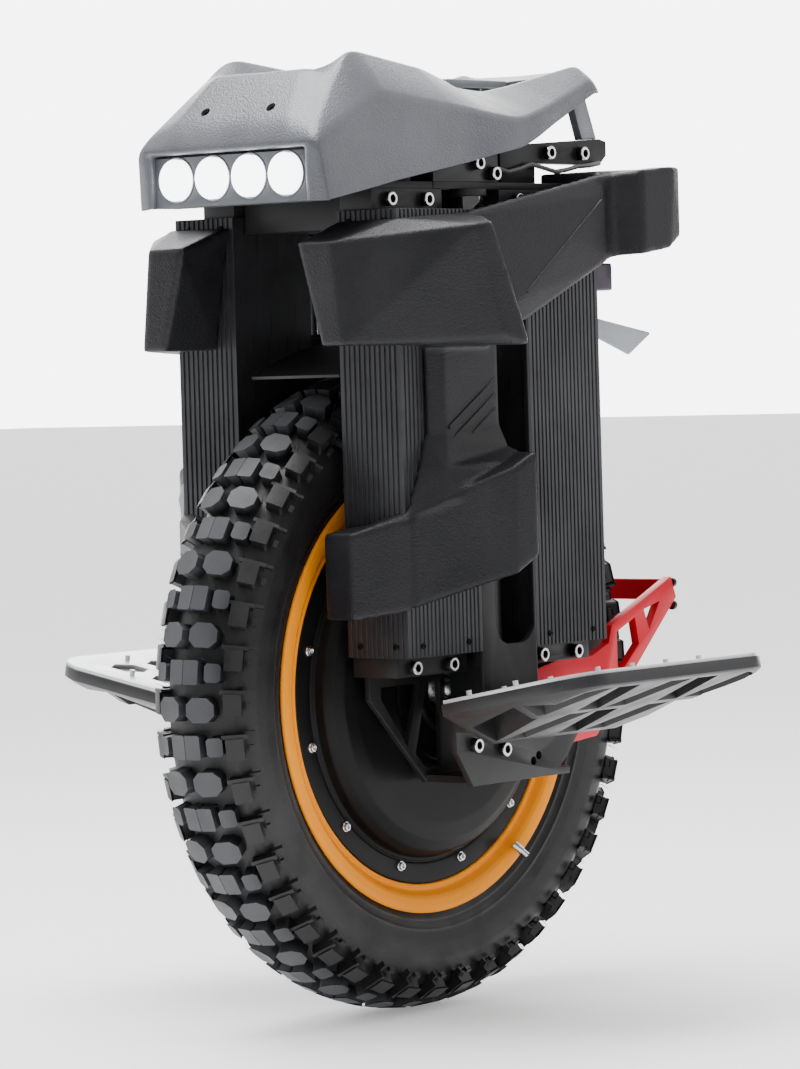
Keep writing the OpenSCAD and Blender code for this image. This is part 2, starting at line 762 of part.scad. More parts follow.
// Outline of a pedal deck in u and y, drawn in by a margin
module pedal_plan(m) {
    c = pedal_corner;
    y0 = pedal_y - pedal_l / 2;
    y1 = pedal_y + pedal_l / 2;
    u1 = deck_in + pedal_w;
    difference() {
        translate([deck_in + m, y0 + m]) square([pedal_w - 2 * m, pedal_l - 2 * m]);
        for (y = [y0, y1]) translate([u1 - c, y == y0 ? y0 : y1 - c]) square([c + 1, c]);
    }
    for (y = [y0 + c, y1 - c]) intersection() {
        translate([u1 - c, y]) circle(r = c - m, $fn = 96);
        translate([u1 - c - 1, y < pedal_y ? y - c : y]) square([c + 1, c]);
    }
}

rib_t = 8;
cell_cols = 2;
cell_rows = 5;

// One slanted opening of the pedal's underside lattice
module lattice_cell(i, j) {
    w = (pedal_w - rib_t) / cell_cols;
    l = (pedal_l - rib_t) / cell_rows;
    u = deck_in + rib_t + i * w;
    y = pedal_y - pedal_l / 2 + rib_t + j * l;
    slant = (i + j) % 2 == 0 ? 16 : -16;
    polygon([[u, y + max(slant, 0)], [u + w - rib_t, y + max(-slant, 0)],
        [u + w - rib_t, y + l - rib_t - max(slant, 0)], [u, y + l - rib_t - max(-slant, 0)]]);
}

module pedal(s) {
    deep = 36;
    shallow = 10;
    rim_t = 9;
    deck_top = deck_up - grip_t;
    slope = atan((deep - shallow) / pedal_w);
    color([0.07, 0.07, 0.075]) at_pedal(s) difference() {
        union() {
            difference() {
                hull() {
                    translate([0, 0, deck_top - rim_t]) linear_extrude(rim_t) pedal_plan(0);
                    block([deck_in, pedal_y - pedal_l / 2 + 52, deck_top - deep],
                        [deck_in + pedal_w - 30, pedal_y + pedal_l / 2 - 52, deck_top - rim_t]);
                }
                translate([deck_in, -300, deck_top - deep]) rotate([0, -slope, 0])
                    translate([-20, 0, -60]) cube([240, 600, 60]);
                translate([0, 0, deck_top - deep - 1]) linear_extrude(deep - 4)
                    intersection() {
                        pedal_plan(rib_t);
                        for (i = [0:cell_cols - 1], j = [0:cell_rows - 1]) lattice_cell(i, j);
                    }
            }
            along_y(lug_r, lug_ys[0] + lug_w + knuckle_gap, lug_ys[1] - knuckle_gap);
            block([0, lug_ys[0] + lug_w + knuckle_gap, -8],
                [deck_in + 1, lug_ys[1] - knuckle_gap, 8]);
        }
        along_y(pin_r + run_gap, hanger_front, hanger_rear);
    }
}
module pedal_right() { pedal(1); }
module pedal_left() { pedal(-1); }

stud_us = [26, 74, 122];

module grip_plate(s) {
    l = pedal_l / 6;
    color([0.82, 0.83, 0.85]) at_pedal(s) {
        difference() {
            translate([0, 0, deck_up - grip_t]) linear_extrude(grip_t) pedal_plan(1.5);
            for (i = [0:1], j = [0:4]) translate([50 + 48 * i, pedal_y + (j - 2) * l,
                deck_up - grip_t - 1]) cylinder(r = 17, h = grip_t + 2, $fn = 6);
        }
        for (u = stud_us, j = [0:5]) if (u < 120 || (j > 0 && j < 5))
            translate([u, pedal_y + (j - 2.5) * l, deck_up]) cylinder(r = 2.2, h = 5);
    }
}
module grip_plate_right() { grip_plate(1); }
module grip_plate_left() { grip_plate(-1); }

// ---- rear guard ----

module rear_guard(s) {
    h = hub_z;
    color([0.82, 0.08, 0.14]) on_side(s) difference() {
        side_plate(guard_x, guard_plate_t, [[30, h - 40], [112, h - 58], [168, h - 53],
            [189, h - 33], [plate_y + plate_t + 5, h + 58], [plate_y + plate_t - 2, h + 76],
            [193, h + 39], [188, h + 24], [165, h + 15], [120, h + 15], [93, h + 10],
            [30, h - 12]]);
        side_plate(guard_x - 1, guard_plate_t + 2, [[200, h + 33], [226, h + 44],
            [231, h + 21], [200, h - 6]]);
        side_plate(guard_x - 1, guard_plate_t + 2, [[239, h + 50], [262, h + 56],
            [246, h + 32]]);
        side_plate(guard_x - 1, guard_plate_t + 2, [[118, h - 40], [160, h - 38],
            [178, h - 20], [150, h - 8], [118, h - 14]]);
        for (p = guard_bolt_places) translate([0, p[0], p[1]])
            along_x(bolt_r + bolt_gap, guard_x - 1, guard_x + guard_plate_t + 1);
    }
}
module rear_guard_right() { rear_guard(1); }
module rear_guard_left() { rear_guard(-1); }

module rear_guard_plate() {
    color([0.82, 0.08, 0.14]) block([-guard_x, plate_y, hub_z + 56],
        [guard_x, plate_y + plate_t, hub_z + 74]);
}

tyre();
rim();
motor_cover_right();
motor_cover_left();
cover_bolts();
valve_stem();
magnet_ring();
hub_bearings();
axle();
stator();
axle_nuts();
fork_leg_right();
fork_leg_left();
mudguard();
mudguard_stays();
motor_cable();
battery_case_front_right();
battery_case_front_left();
battery_case_rear_right();
battery_case_rear_left();
battery_end_plates();
battery_packs();
column_feet();
column_heads();
side_frame_right();
side_frame_left();
frame_bolts();
stanchion_right();
stanchion_left();
stanchion_collars();
top_deck();
crown_blocks();
controller_case();
controller_board();
headlight_housing();
headlight_lenses();
top_shell();
shell_screws();
handle_bar();
handle_posts();
tail_struts();
tail_brackets();
rear_cable();
bumper_right();
bumper_left();
hanger_right();
hanger_left();
pedal_pins();
rear_guard_right();
rear_guard_left();
rear_guard_plate();
tail_light();
rear_visor();
pedal_right();
pedal_left();
grip_plate_right();
grip_plate_left();
lift_button();
power_button();
charge_cap();
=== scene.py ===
# %% [markdown]
# # A suspension unicycle, dressed for a studio picture
#
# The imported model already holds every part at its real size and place. This notebook gives
# those parts their looks. Parts whose plain solid is only a stand-in, such as the tyre, the
# top shell and the bumpers, are built again here with their real surface. The others keep
# their shape and get eased edges and a proper finish. Every length is in millimetres and
# turned into metres when a mesh is made.

import json
import math

import bmesh
import bpy
from mathutils import Matrix, Vector

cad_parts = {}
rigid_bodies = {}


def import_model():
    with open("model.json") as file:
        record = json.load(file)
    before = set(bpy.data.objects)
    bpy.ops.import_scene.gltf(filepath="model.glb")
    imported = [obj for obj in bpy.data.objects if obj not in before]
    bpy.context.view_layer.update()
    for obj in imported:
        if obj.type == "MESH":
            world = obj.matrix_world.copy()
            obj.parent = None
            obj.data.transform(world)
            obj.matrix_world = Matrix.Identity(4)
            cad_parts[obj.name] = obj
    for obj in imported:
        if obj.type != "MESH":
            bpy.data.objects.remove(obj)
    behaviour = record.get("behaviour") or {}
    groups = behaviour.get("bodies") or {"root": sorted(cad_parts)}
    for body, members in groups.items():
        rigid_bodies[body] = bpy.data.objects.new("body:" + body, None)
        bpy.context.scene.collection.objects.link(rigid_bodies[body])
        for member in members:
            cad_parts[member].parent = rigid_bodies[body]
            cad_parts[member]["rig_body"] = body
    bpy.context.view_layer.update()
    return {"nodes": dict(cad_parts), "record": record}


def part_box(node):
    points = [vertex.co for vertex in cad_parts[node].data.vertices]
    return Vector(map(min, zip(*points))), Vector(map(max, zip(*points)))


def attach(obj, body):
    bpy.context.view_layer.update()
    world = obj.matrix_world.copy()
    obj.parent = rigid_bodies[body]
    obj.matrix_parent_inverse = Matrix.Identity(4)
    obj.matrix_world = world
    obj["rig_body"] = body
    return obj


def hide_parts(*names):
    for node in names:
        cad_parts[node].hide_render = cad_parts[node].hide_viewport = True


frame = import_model()
MM = 0.001
SLOT_OF = {s["node"]: s["material_slot"] for s in frame["record"]["subparts"]}
print("nodes loaded:", len(frame["nodes"]))

# %% [markdown]
# ## Measures taken from the frame
#
# A maker reads sizes off the drawing instead of typing them twice. The axle gives the wheel's
# middle, the tyre its radius, and one battery case gives the plan of all four columns.

# %% Read the main measures


def box_mm(node):
    """Lowest and highest corner of a part, in millimetres."""
    low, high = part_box(node)
    return Vector(low) / MM, Vector(high) / MM


HUB_Z = (box_mm("axle")[0].z + box_mm("axle")[1].z) / 2
TYRE_R = (box_mm("tyre")[1].z - box_mm("tyre")[0].z) / 2
RIM_R = (box_mm("rim")[1].z - box_mm("rim")[0].z) / 2
COLUMN_LOW, COLUMN_HIGH = box_mm("battery_case_rear_right")
print("wheel centre", round(HUB_Z), "tyre radius", round(TYRE_R), "rim radius", round(RIM_R))

# %% [markdown]
# ## Shared surface effects
#
# Moulded plastic, foam skin, rubber and anodised metal share a few effects: a pebbled grain,
# a slow drift of tone, fine streaks along a drawn metal bar, and a little settled dust on
# faces that look up. Each effect is one node group with named inputs, so that a finish only
# says how strong and how large it is.

# %% Helpers to build node trees


def add_node(tree, kind, **settings):
    """A node. Every kind that doesn't start with Geometry is a shader or maths node."""
    node = tree.nodes.new(kind if kind.startswith("Geometry") else "ShaderNode" + kind)
    for key, value in settings.items():
        setattr(node, key, value)
    return node


def socket_of(sockets, label):
    return sockets[int(label) if label.isdigit() else label]


def lay_out(tree, known, nodes, wires):
    """Adds a table of nodes, each (kind, settings, values), and wires them. A line of wires
    is "from.Socket > to.Socket, to.Socket", and a number stands for a socket's place."""
    for label, (kind, settings, values) in nodes.items():
        known[label] = add_node(tree, kind, **settings)
        for socket, value in values.items():
            known[label].inputs[socket].default_value = value
    for line in wires.strip().splitlines():
        start, ends = line.strip().split(" > ")
        node, label = start.split(".")
        for end in ends.split(", "):
            other, into = end.split(".")
            tree.links.new(socket_of(known[node].outputs, label),
                           socket_of(known[other].inputs, into))
    return tree


def shader_group(name, inputs, outputs, nodes, wires):
    """A shader node group with named sockets, from a table of nodes."""
    tree = bpy.data.node_groups.new(name, "ShaderNodeTree")
    for label, kind, value in inputs:
        socket = tree.interface.new_socket(label, in_out="INPUT", socket_type=kind)
        socket.default_value = value
    for label, kind in outputs:
        tree.interface.new_socket(label, in_out="OUTPUT", socket_type=kind)
    ends = {"in": tree.nodes.new("NodeGroupInput"), "out": tree.nodes.new("NodeGroupOutput")}
    return lay_out(tree, ends, nodes, wires)


FLOAT, COLOUR, VECTOR = "NodeSocketFloat", "NodeSocketColor", "NodeSocketVector"
PLACE = ("TexCoord", {}, {})
TIMES = ("Math", {"operation": "MULTIPLY"}, {})
BLEND = ("Mix", {"data_type": "RGBA"}, {})

# %% Pebbled grain
GRAIN = shader_group("pebbled grain", [("Scale", FLOAT, 600.0), ("Roundness", FLOAT, 0.8)],
                     [("Height", FLOAT)], {
    "place": PLACE,
    "cells": ("TexVoronoi", {"feature": "SMOOTH_F1"}, {}),
    "speckle": ("TexNoise", {}, {}),
    "finer": ("Math", {"operation": "MULTIPLY"}, {1: 2.3}),
    "dome": ("Math", {"operation": "SUBTRACT"}, {0: 1.0}),
    "total": ("Math", {"operation": "MULTIPLY_ADD"}, {1: 0.45}),
}, """
    place.Object > cells.Vector, speckle.Vector
    in.Scale > cells.Scale, finer.0
    in.Roundness > cells.Smoothness
    finer.0 > speckle.Scale
    cells.Distance > dome.1
    speckle.Fac > total.0
    dome.0 > total.2
    total.0 > out.Height""")

# %% Slow drift of tone
TONE = shader_group("tone drift", [("Light", COLOUR, (0.1, 0.1, 0.1, 1)),
                                   ("Dark", COLOUR, (0, 0, 0, 1)), ("Scale", FLOAT, 12.0)],
                    [("Color", COLOUR), ("Value", FLOAT)], {
    "place": PLACE,
    "cloud": ("TexNoise", {}, {"Detail": 6.0, "Roughness": 0.62}),
    "spread": ("MapRange", {}, {"From Min": 0.34, "From Max": 0.68}),
    "blend": BLEND,
}, """
    place.Object > cloud.Vector
    in.Scale > cloud.Scale
    cloud.Fac > spread.Value
    spread.Result > blend.Factor, out.Value
    in.Dark > blend.A
    in.Light > blend.B
    blend.Result > out.Color""")

# %% Streaks along drawn or brushed metal
STREAK = shader_group("drawn streaks", [("Stretch", VECTOR, (900.0, 900.0, 9.0)),
                                        ("Low", FLOAT, 0.3), ("High", FLOAT, 0.5)],
                      [("Value", FLOAT), ("Roughness", FLOAT)], {
    "place": PLACE,
    "pull": ("VectorMath", {"operation": "MULTIPLY"}, {}),
    "lines": ("TexNoise", {}, {"Scale": 1.0, "Detail": 3.0}),
    "spread": ("MapRange", {}, {"From Min": 0.3, "From Max": 0.7}),
}, """
    place.Object > pull.0
    in.Stretch > pull.1
    pull.0 > lines.Vector
    lines.Fac > out.Value, spread.Value
    in.Low > spread.To Min
    in.High > spread.To Max
    spread.Result > out.Roughness""")

# %% Dust that settles on faces that look up
DUST = shader_group("settled dust", [("Color", COLOUR, (0.1, 0.1, 0.1, 1)),
                                     ("Dust", COLOUR, (0.3, 0.29, 0.27, 1)),
                                     ("Amount", FLOAT, 0.1)],
                    [("Color", COLOUR)], {
    "place": PLACE,
    "shape": ("NewGeometry", {}, {}),
    "split": ("SeparateXYZ", {}, {}),
    "up": ("MapRange", {}, {}),
    "patch": ("TexNoise", {}, {"Scale": 45.0, "Detail": 8.0}),
    "amount": TIMES,
    "mask": TIMES,
    "blend": BLEND,
}, """
    shape.Normal > split.0
    split.Z > up.Value
    place.Object > patch.Vector
    up.Result > amount.0
    in.Amount > amount.1
    amount.0 > mask.0
    patch.Fac > mask.1
    mask.0 > blend.Factor
    in.Color > blend.A
    in.Dust > blend.B
    blend.Result > out.Color""")
print("shared effects:", [g.name for g in (GRAIN, TONE, STREAK, DUST)])

# %% [markdown]
# ## Finishes
#
# One function mixes the effects into a Principled surface. Colours are given as the light and
# the dark end of the drift. Values that are the same all over the surface stay on the shader's
# own sockets.

# %% The finish maker


def place_group(tree, group, **values):
    node = add_node(tree, "Group", node_tree=group)
    for label, value in values.items():
        node.inputs[label].default_value = value
    return node


def rgba(colour):
    return (*colour, 1.0)


def wear_and_highlight_layer(tree, shader, tone, begin, end, colour):
    """Lighter rubber towards the crown, by distance from the hub's axis: partly worn rubber,
    partly a painted highlight on the knob tops.
    """
    lay_out(tree, {"shader": shader, "tone": tone}, {
        "place": PLACE,
        "away": ("VectorMath", {"operation": "MULTIPLY_ADD"},
                 {1: (0, 1, 1), 2: (0, 0, -HUB_Z * MM)}),
        "radius": ("VectorMath", {"operation": "LENGTH"}, {}),
        "amount": ("MapRange", {"interpolation_type": "SMOOTHSTEP"},
                   {"From Min": begin * MM, "From Max": end * MM}),
        "blend": ("Mix", {"data_type": "RGBA"}, {"B": rgba(colour)}),
    }, """
        place.Object > away.0
        away.Vector > radius.0
        radius.Value > amount.Value
        amount.Result > blend.Factor
        tone.Color > blend.A
        blend.Result > shader.Base Color""")


def finish(name, light, dark, roughness, metallic=0.0, drift=14.0, grain=None, streak=None,
           dust=0.0, shine=0.5, wear_and_highlight=None):
    """A material. grain is (scale, strength, depth in mm), streak is (stretch, low, high),
    and the last is (radius from the hub where a lighter colour begins, where it ends, that
    colour), for worn rubber with a painted highlight."""
    material = bpy.data.materials.new(name)
    material.use_nodes = True
    tree = material.node_tree
    wire = tree.links.new
    shader = tree.nodes["Principled BSDF"]
    shader.inputs["Metallic"].default_value = metallic
    shader.inputs["Specular IOR Level"].default_value = shine
    tone = place_group(tree, TONE, Light=rgba(light), Dark=rgba(dark), Scale=drift)
    wire(tone.outputs["Color"], shader.inputs["Base Color"])
    if dust:
        layer = place_group(tree, DUST, Amount=dust)
        wire(tone.outputs["Color"], layer.inputs["Color"])
        wire(layer.outputs["Color"], shader.inputs["Base Color"])
    # A lighter colour towards the crown: partly wear, partly a painted highlight.
    if wear_and_highlight:
        wear_and_highlight_layer(tree, shader, tone, *wear_and_highlight)
    if streak:
        lines = place_group(tree, STREAK, Stretch=streak[0], Low=streak[1], High=streak[2])
        wire(lines.outputs["Roughness"], shader.inputs["Roughness"])
        height, strength, depth = lines.outputs["Value"], 0.15, 0.05
    else:
        spread = add_node(tree, "MapRange")
        spread.inputs["To Min"].default_value = roughness[0]
        spread.inputs["To Max"].default_value = roughness[1]
        wire(tone.outputs["Value"], spread.inputs["Value"])
        wire(spread.outputs["Result"], shader.inputs["Roughness"])
        height = None
    if grain:
        pebbles = place_group(tree, GRAIN, Scale=grain[0])
        height, strength, depth = pebbles.outputs["Height"], grain[1], grain[2]
    if height:
        bump = add_node(tree, "Bump")
        bump.inputs["Strength"].default_value = strength
        bump.inputs["Distance"].default_value = depth * MM
        wire(height, bump.inputs["Height"])
        wire(bump.outputs["Normal"], shader.inputs["Normal"])
    return material


# %% [markdown]
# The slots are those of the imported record: rubber for the tyre, orange powder coat for the
# rim, pebbled skins for the shell and the bumpers, black anodised metal for the columns, and
# so on. Drawn parts get streaks along the way they were drawn.

# %% The finishes of this unicycle
UPRIGHT = (900.0, 900.0, 10.0)
LENGTHWISE = (700.0, 12.0, 700.0)
FINISH = {
    # The knob tops get a lighter colour: partly worn rubber, partly a painted highlight.
    "tyre_rubber": finish("tyre rubber", (0.010, 0.010, 0.011), (0.005, 0.005, 0.006),
                          (0.34, 0.62), drift=26, grain=(520, 0.35, 0.25), shine=0.4,
                          wear_and_highlight=(TYRE_R - 12, TYRE_R - 2, (0.048, 0.050, 0.055))),
    "rim_orange": finish("orange powder coat", (1.0, 0.33, 0.0), (0.94, 0.285, 0.0),
                         (0.34, 0.46), drift=8, shine=0.12),
    "motor_black": finish("black motor paint", (0.006, 0.006, 0.006), (0.003, 0.003, 0.003),
                          (0.34, 0.48), drift=10, grain=(1500, 0.08, 0.05), shine=0.14),
    "bright_steel": finish("bright steel", (0.80, 0.80, 0.80), (0.60, 0.60, 0.61),
                           (0.16, 0.32), metallic=1.0, drift=60),
    "magnet_steel": finish("plain steel", (0.35, 0.35, 0.36), (0.24, 0.24, 0.25),
                           (0.35, 0.55), metallic=1.0),
    "copper": finish("lacquered windings", (0.55, 0.22, 0.09), (0.35, 0.12, 0.05),
                     (0.30, 0.45), metallic=0.8),
    "fork_black": finish("hard anodised black", (0.020, 0.020, 0.022), (0.011, 0.011, 0.012),
                         (0.28, 0.45), metallic=0.4, grain=(1400, 0.08, 0.05)),
    "chrome": finish("polished chrome", (0.90, 0.90, 0.91), (0.82, 0.82, 0.84),
                     (0.03, 0.09), metallic=1.0, drift=20),
    "anodised_black": finish("black anodised column", (0.066, 0.067, 0.071),
                             (0.042, 0.042, 0.046), (0.3, 0.45), metallic=0.75,
                             streak=(UPRIGHT, 0.26, 0.46)),
    "cell_blue": finish("cell wrap", (0.04, 0.16, 0.45), (0.03, 0.11, 0.32), (0.35, 0.5)),
    "frame_black": finish("black frame coat", (0.016, 0.016, 0.017), (0.009, 0.009, 0.010),
                          (0.36, 0.54), drift=18, grain=(1100, 0.18, 0.08), shine=0.35),
    "board_green": finish("circuit board", (0.02, 0.20, 0.07), (0.01, 0.12, 0.04),
                          (0.3, 0.45)),
    "panel_grey": finish("grey lamp panel", (0.105, 0.110, 0.118), (0.080, 0.084, 0.092),
                         (0.34, 0.48), grain=(1300, 0.10, 0.05)),
    "shell_plastic": finish("pebbled shell", (0.100, 0.105, 0.121), (0.066, 0.069, 0.081),
                            (0.28, 0.40), drift=11, grain=(620, 0.8, 0.34), dust=0.01,
                            shine=0.75),
    "handle_grey": finish("satin grey metal", (0.25, 0.26, 0.285), (0.20, 0.21, 0.23),
                          (0.3, 0.4), metallic=0.35, streak=(LENGTHWISE, 0.26, 0.42)),
    "lead_grey": finish("grey lead", (0.20, 0.20, 0.20), (0.13, 0.13, 0.13), (0.4, 0.55)),
    "bumper_foam": finish("pebbled foam skin", (0.014, 0.014, 0.016), (0.007, 0.007, 0.009),
                          (0.36, 0.50), drift=11, grain=(620, 0.8, 0.34), dust=0.004,
                          shine=0.27),
    "pedal_black": finish("cast black pedal", (0.017, 0.017, 0.019), (0.010, 0.010, 0.011),
                          (0.34, 0.52), drift=30, grain=(800, 0.30, 0.14)),
    "grip_silver": finish("silver grip plate", (0.78, 0.79, 0.80), (0.66, 0.67, 0.69),
                          (0.3, 0.42), metallic=0.55, streak=(LENGTHWISE, 0.26, 0.42)),
    "guard_red": finish("red anodised metal", (0.62, 0.005, 0.022), (0.50, 0.003, 0.016),
                        (0.28, 0.40), metallic=0.25, drift=16, grain=(1500, 0.05, 0.05),
                        shine=0.35),
    "lamp_red": finish("dark lamp lens", (0.020, 0.006, 0.030), (0.010, 0.003, 0.016),
                       (0.25, 0.35)),
    "visor_grey": finish("grey visor", (0.33, 0.35, 0.38), (0.27, 0.29, 0.32),
                         (0.28, 0.42), grain=(1200, 0.10, 0.06)),
    "button_red": finish("dark button", (0.035, 0.035, 0.038), (0.02, 0.02, 0.022),
                         (0.3, 0.45)),
    "cap_rubber": finish("soft rubber", (0.022, 0.022, 0.023), (0.014, 0.014, 0.015),
                         (0.5, 0.65), grain=(1000, 0.2, 0.1)),
    "cable_black": finish("cable sheath", (0.02, 0.02, 0.02), (0.012, 0.012, 0.012),
                          (0.4, 0.55), grain=(1200, 0.15, 0.08)),
}

# %% A lit lamp lens glows by itself


def lit_lens():
    material = finish("lit lamp lens", (1, 1, 1), (0.9, 0.93, 1.0), (0.1, 0.2))
    shader = material.node_tree.nodes["Principled BSDF"]
    shader.inputs["Emission Color"].default_value = (0.93, 0.96, 1.0, 1.0)
    shader.inputs["Emission Strength"].default_value = 6.0
    return material


FINISH["lamp_white"] = lit_lens()
for node, part in frame["nodes"].items():
    part.data.materials.clear()
    part.data.materials.append(FINISH[SLOT_OF[node]])
print("finishes:", len(FINISH))

# %% [markdown]
# ## Making meshes
#
# Most pieces come from three ways of working. A lathe turns a profile round the wheel's axle.
# A softened outline replaces each sharp corner by a short curve, because no moulded or
# machined part has a perfectly sharp corner. A refined copy takes a part's own solid, merges
# its loose triangles back into clean faces, and eases its edges.

# %% Helpers for meshes
SIDES = ((1, "right"), (-1, "left"))


def put_in_scene(name, data):
    thing = bpy.data.objects.new(name, data)
    bpy.context.scene.collection.objects.link(thing)
    return thing


def settled(thing):
    """The object's mesh with its modifiers worked in."""
    ready = thing.evaluated_get(bpy.context.evaluated_depsgraph_get())
    return bpy.data.meshes.new_from_object(ready)


def keep_piece(name, mesh, body, slot, sharp=35):
    """A finished piece: smooth faces with crisp edges, on its body and in its slot."""
    mesh.shade_smooth()
    mesh.set_sharp_from_angle(angle=math.radians(sharp))
    mesh.materials.clear()
    mesh.materials.append(FINISH[slot])
    piece = put_in_scene(name, mesh)
    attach(piece, body)
    return piece


def to_mesh(name, bm, outward=True):
    if outward:
        bmesh.ops.recalc_face_normals(bm, faces=bm.faces)
    mesh = bpy.data.meshes.new(name)
    bm.to_mesh(mesh)
    bm.free()
    return mesh


def soften(points, radius, closed=False, steps=3):
    """The same line with each corner replaced by a short curve of steps + 1 points."""
    points = [Vector(p) for p in points]
    count = len(points)
    line = [] if closed else [points[0]]
    for i in range(count if closed else count - 2):
        here = points[i] if closed else points[i + 1]
        before = points[i - 1] if closed else points[i]
        after = points[(i + 1) % count] if closed else points[i + 2]
        back, ahead = before - here, after - here
        a = here + back.normalized() * min(radius, back.length * 0.45)
        b = here + ahead.normalized() * min(radius, ahead.length * 0.45)
        for k in range(steps + 1):
            t = k / steps
            line.append((1 - t) ** 2 * a + 2 * t * (1 - t) * here + t ** 2 * b)
    return line if closed else line + [points[-1]]


def strip_faces(bm, rings, closed_ring=True, closed_row=False):
    """Quads between neighbouring rings of vertices."""
    count = len(rings[0])
    rows = len(rings) if closed_row else len(rings) - 1
    for i in range(rows):
        here, there = rings[i], rings[(i + 1) % len(rings)]
        for j in range(count if closed_ring else count - 1):
            k = (j + 1) % count
            bm.faces.new((here[j], here[k], there[k], there[j]))


def lathe(profile, segments=180):
    """A closed ring about the wheel's axle, from points of radius and x."""
    bm = bmesh.new()
    rings = []
    for i in range(segments):
        turn = 2 * math.pi * i / segments
        back, up = math.sin(turn), math.cos(turn)
        rings.append([bm.verts.new(Vector((x, r * back, HUB_Z + r * up)) * MM)
                      for r, x in profile])
    strip_faces(bm, rings, closed_row=True)
    return bm


def mirrored(points):
    """A profile's other half, in the order that closes the loop."""
    return [(r, -x) for r, x in reversed(points)]


def soft_profile(points, radius, steps=3):
    return [(p.x, p.y) for p in soften([(r, x, 0) for r, x in points], radius, True, steps)]


# %% Refined copies of the frame's own solids


def refine(node, width, angle=30, segments=2, name=None):
    """Stands for a part with a merged copy of its own solid whose edges are eased."""
    bm = bmesh.new()
    bm.from_mesh(frame["nodes"][node].data)
    bmesh.ops.remove_doubles(bm, verts=bm.verts, dist=0.005 * MM)
    bmesh.ops.dissolve_limit(bm, angle_limit=math.radians(0.6), verts=bm.verts, edges=bm.edges)
    edges = [e for e in bm.edges
             if len(e.link_faces) == 2 and e.calc_face_angle(0) > math.radians(angle)]
    bmesh.ops.bevel(bm, geom=edges, offset=width * MM, segments=segments, profile=0.6,
                    affect="EDGES", clamp_overlap=True)
    piece = keep_piece(name or node + "_part", to_mesh(node, bm, outward=False),
                       frame["nodes"][node]["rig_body"], SLOT_OF[node], sharp=32)
    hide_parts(node)
    return piece


# %% [markdown]
# ## Repeats
#
# Screws, bolts and tread knobs repeat one unit many times. Two small Geometry Nodes trees do
# this. One turns a unit round the axle, and one sets a unit on chosen points. Both realize
# their instances and set the material, and the result is then kept as a plain mesh.

# %% Geometry Nodes: a unit repeated round the axle


def repeat_tree(name, sockets, nodes, wires):
    """A tree whose place node makes instances, which are realized and get the material."""
    tree = bpy.data.node_groups.new(name, "GeometryNodeTree")
    for label, kind in [("Geometry", "NodeSocketGeometry"), ("Unit", "NodeSocketObject"),
                        *sockets, ("Material", "NodeSocketMaterial")]:
        tree.interface.new_socket(label, in_out="INPUT", socket_type=kind)
    tree.interface.new_socket("Geometry", in_out="OUTPUT", socket_type="NodeSocketGeometry")
    ends = {"in": tree.nodes.new("NodeGroupInput"), "out": tree.nodes.new("NodeGroupOutput")}
    shared = {
        "unit": ("GeometryNodeObjectInfo", {}, {}),
        "place": ("GeometryNodeInstanceOnPoints", {}, {}),
        "real": ("GeometryNodeRealizeInstances", {}, {}),
        "paint": ("GeometryNodeSetMaterial", {}, {}),
    }
    return lay_out(tree, ends, {**shared, **nodes}, wires + """
        in.Unit > unit.Object
        unit.Geometry > place.Instance
        place.Instances > real.Geometry
        real.Geometry > paint.Geometry
        in.Material > paint.Material
        paint.Geometry > out.Geometry""")


RING = repeat_tree("repeat round the axle", [
    ("Count", "NodeSocketInt"), ("Start", FLOAT), ("Hub height", FLOAT)], {
    "spots": ("GeometryNodePoints", {}, {}),
    "middle": ("CombineXYZ", {}, {}),
    "index": ("GeometryNodeInputIndex", {}, {}),
    "step": ("Math", {"operation": "DIVIDE"}, {0: 2 * math.pi}),
    "turn": ("Math", {"operation": "MULTIPLY_ADD"}, {}),
    "spin": ("CombineXYZ", {}, {}),
}, """
    in.Count > spots.Count, step.1
    in.Hub height > middle.Z
    middle.0 > spots.Position
    index.0 > turn.0
    step.0 > turn.1
    in.Start > turn.2
    turn.0 > spin.X
    spots.0 > place.Points
    spin.0 > place.Rotation""")

# %% Geometry Nodes: a unit set on chosen points
SCATTER = repeat_tree("set on points", [("Turn", VECTOR)], {}, """
    in.Geometry > place.Points
    in.Turn > place.Rotation""")


def grow(name, tree, host_mesh, unit_bm, body, slot, values):
    """Runs a tree once on a unit and keeps the result as a plain mesh."""
    unit = put_in_scene(name + "_unit", to_mesh(name + "_unit", unit_bm))
    host = put_in_scene(name + "_host", host_mesh)
    sockets = {i.name: i.identifier for i in tree.interface.items_tree if i.in_out == "INPUT"}
    modifier = host.modifiers.new("Repeat", "NODES")
    modifier.node_group = tree
    values = dict(values, Unit=unit, Material=FINISH[slot])
    for label, value in values.items():
        modifier[sockets[label]] = value
    mesh = settled(host)
    mesh.name = name
    for thing in (unit, host):
        bpy.data.objects.remove(thing)
    return keep_piece(name, mesh, body, slot)


def around(name, unit_bm, count, start, body, slot):
    return grow(name, RING, bpy.data.meshes.new(name + "_seed"), unit_bm, body, slot,
                {"Count": count, "Start": start, "Hub height": HUB_Z * MM})


def on_points(name, unit_bm, points, turn, body, slot):
    seed = bpy.data.meshes.new(name + "_seed")
    seed.from_pydata([Vector(p) * MM for p in points], [], [])
    return grow(name, SCATTER, seed, unit_bm, body, slot, {"Turn": turn})


# %% [markdown]
# ## The tyre
#
# The carcass is one lathe of a softened profile: a round crown, tall sidewalls with a fine
# rib, and a bead that sits in the rim. The knobs stand on the crown in two rows that take
# turns, a pair of eight-sided blocks and then a split block between two small ones, with a
# hatched shoulder block at each end. One row is modelled and the ring tree repeats it.

# %% Tyre carcass
KNOB_H = 12
CROWN_R = 62
PITCHES = 28
SHOULDERS = 45
SIDEWALL_X = box_mm("tyre")[1].x
crown_mid = TYRE_R - KNOB_H - CROWN_R


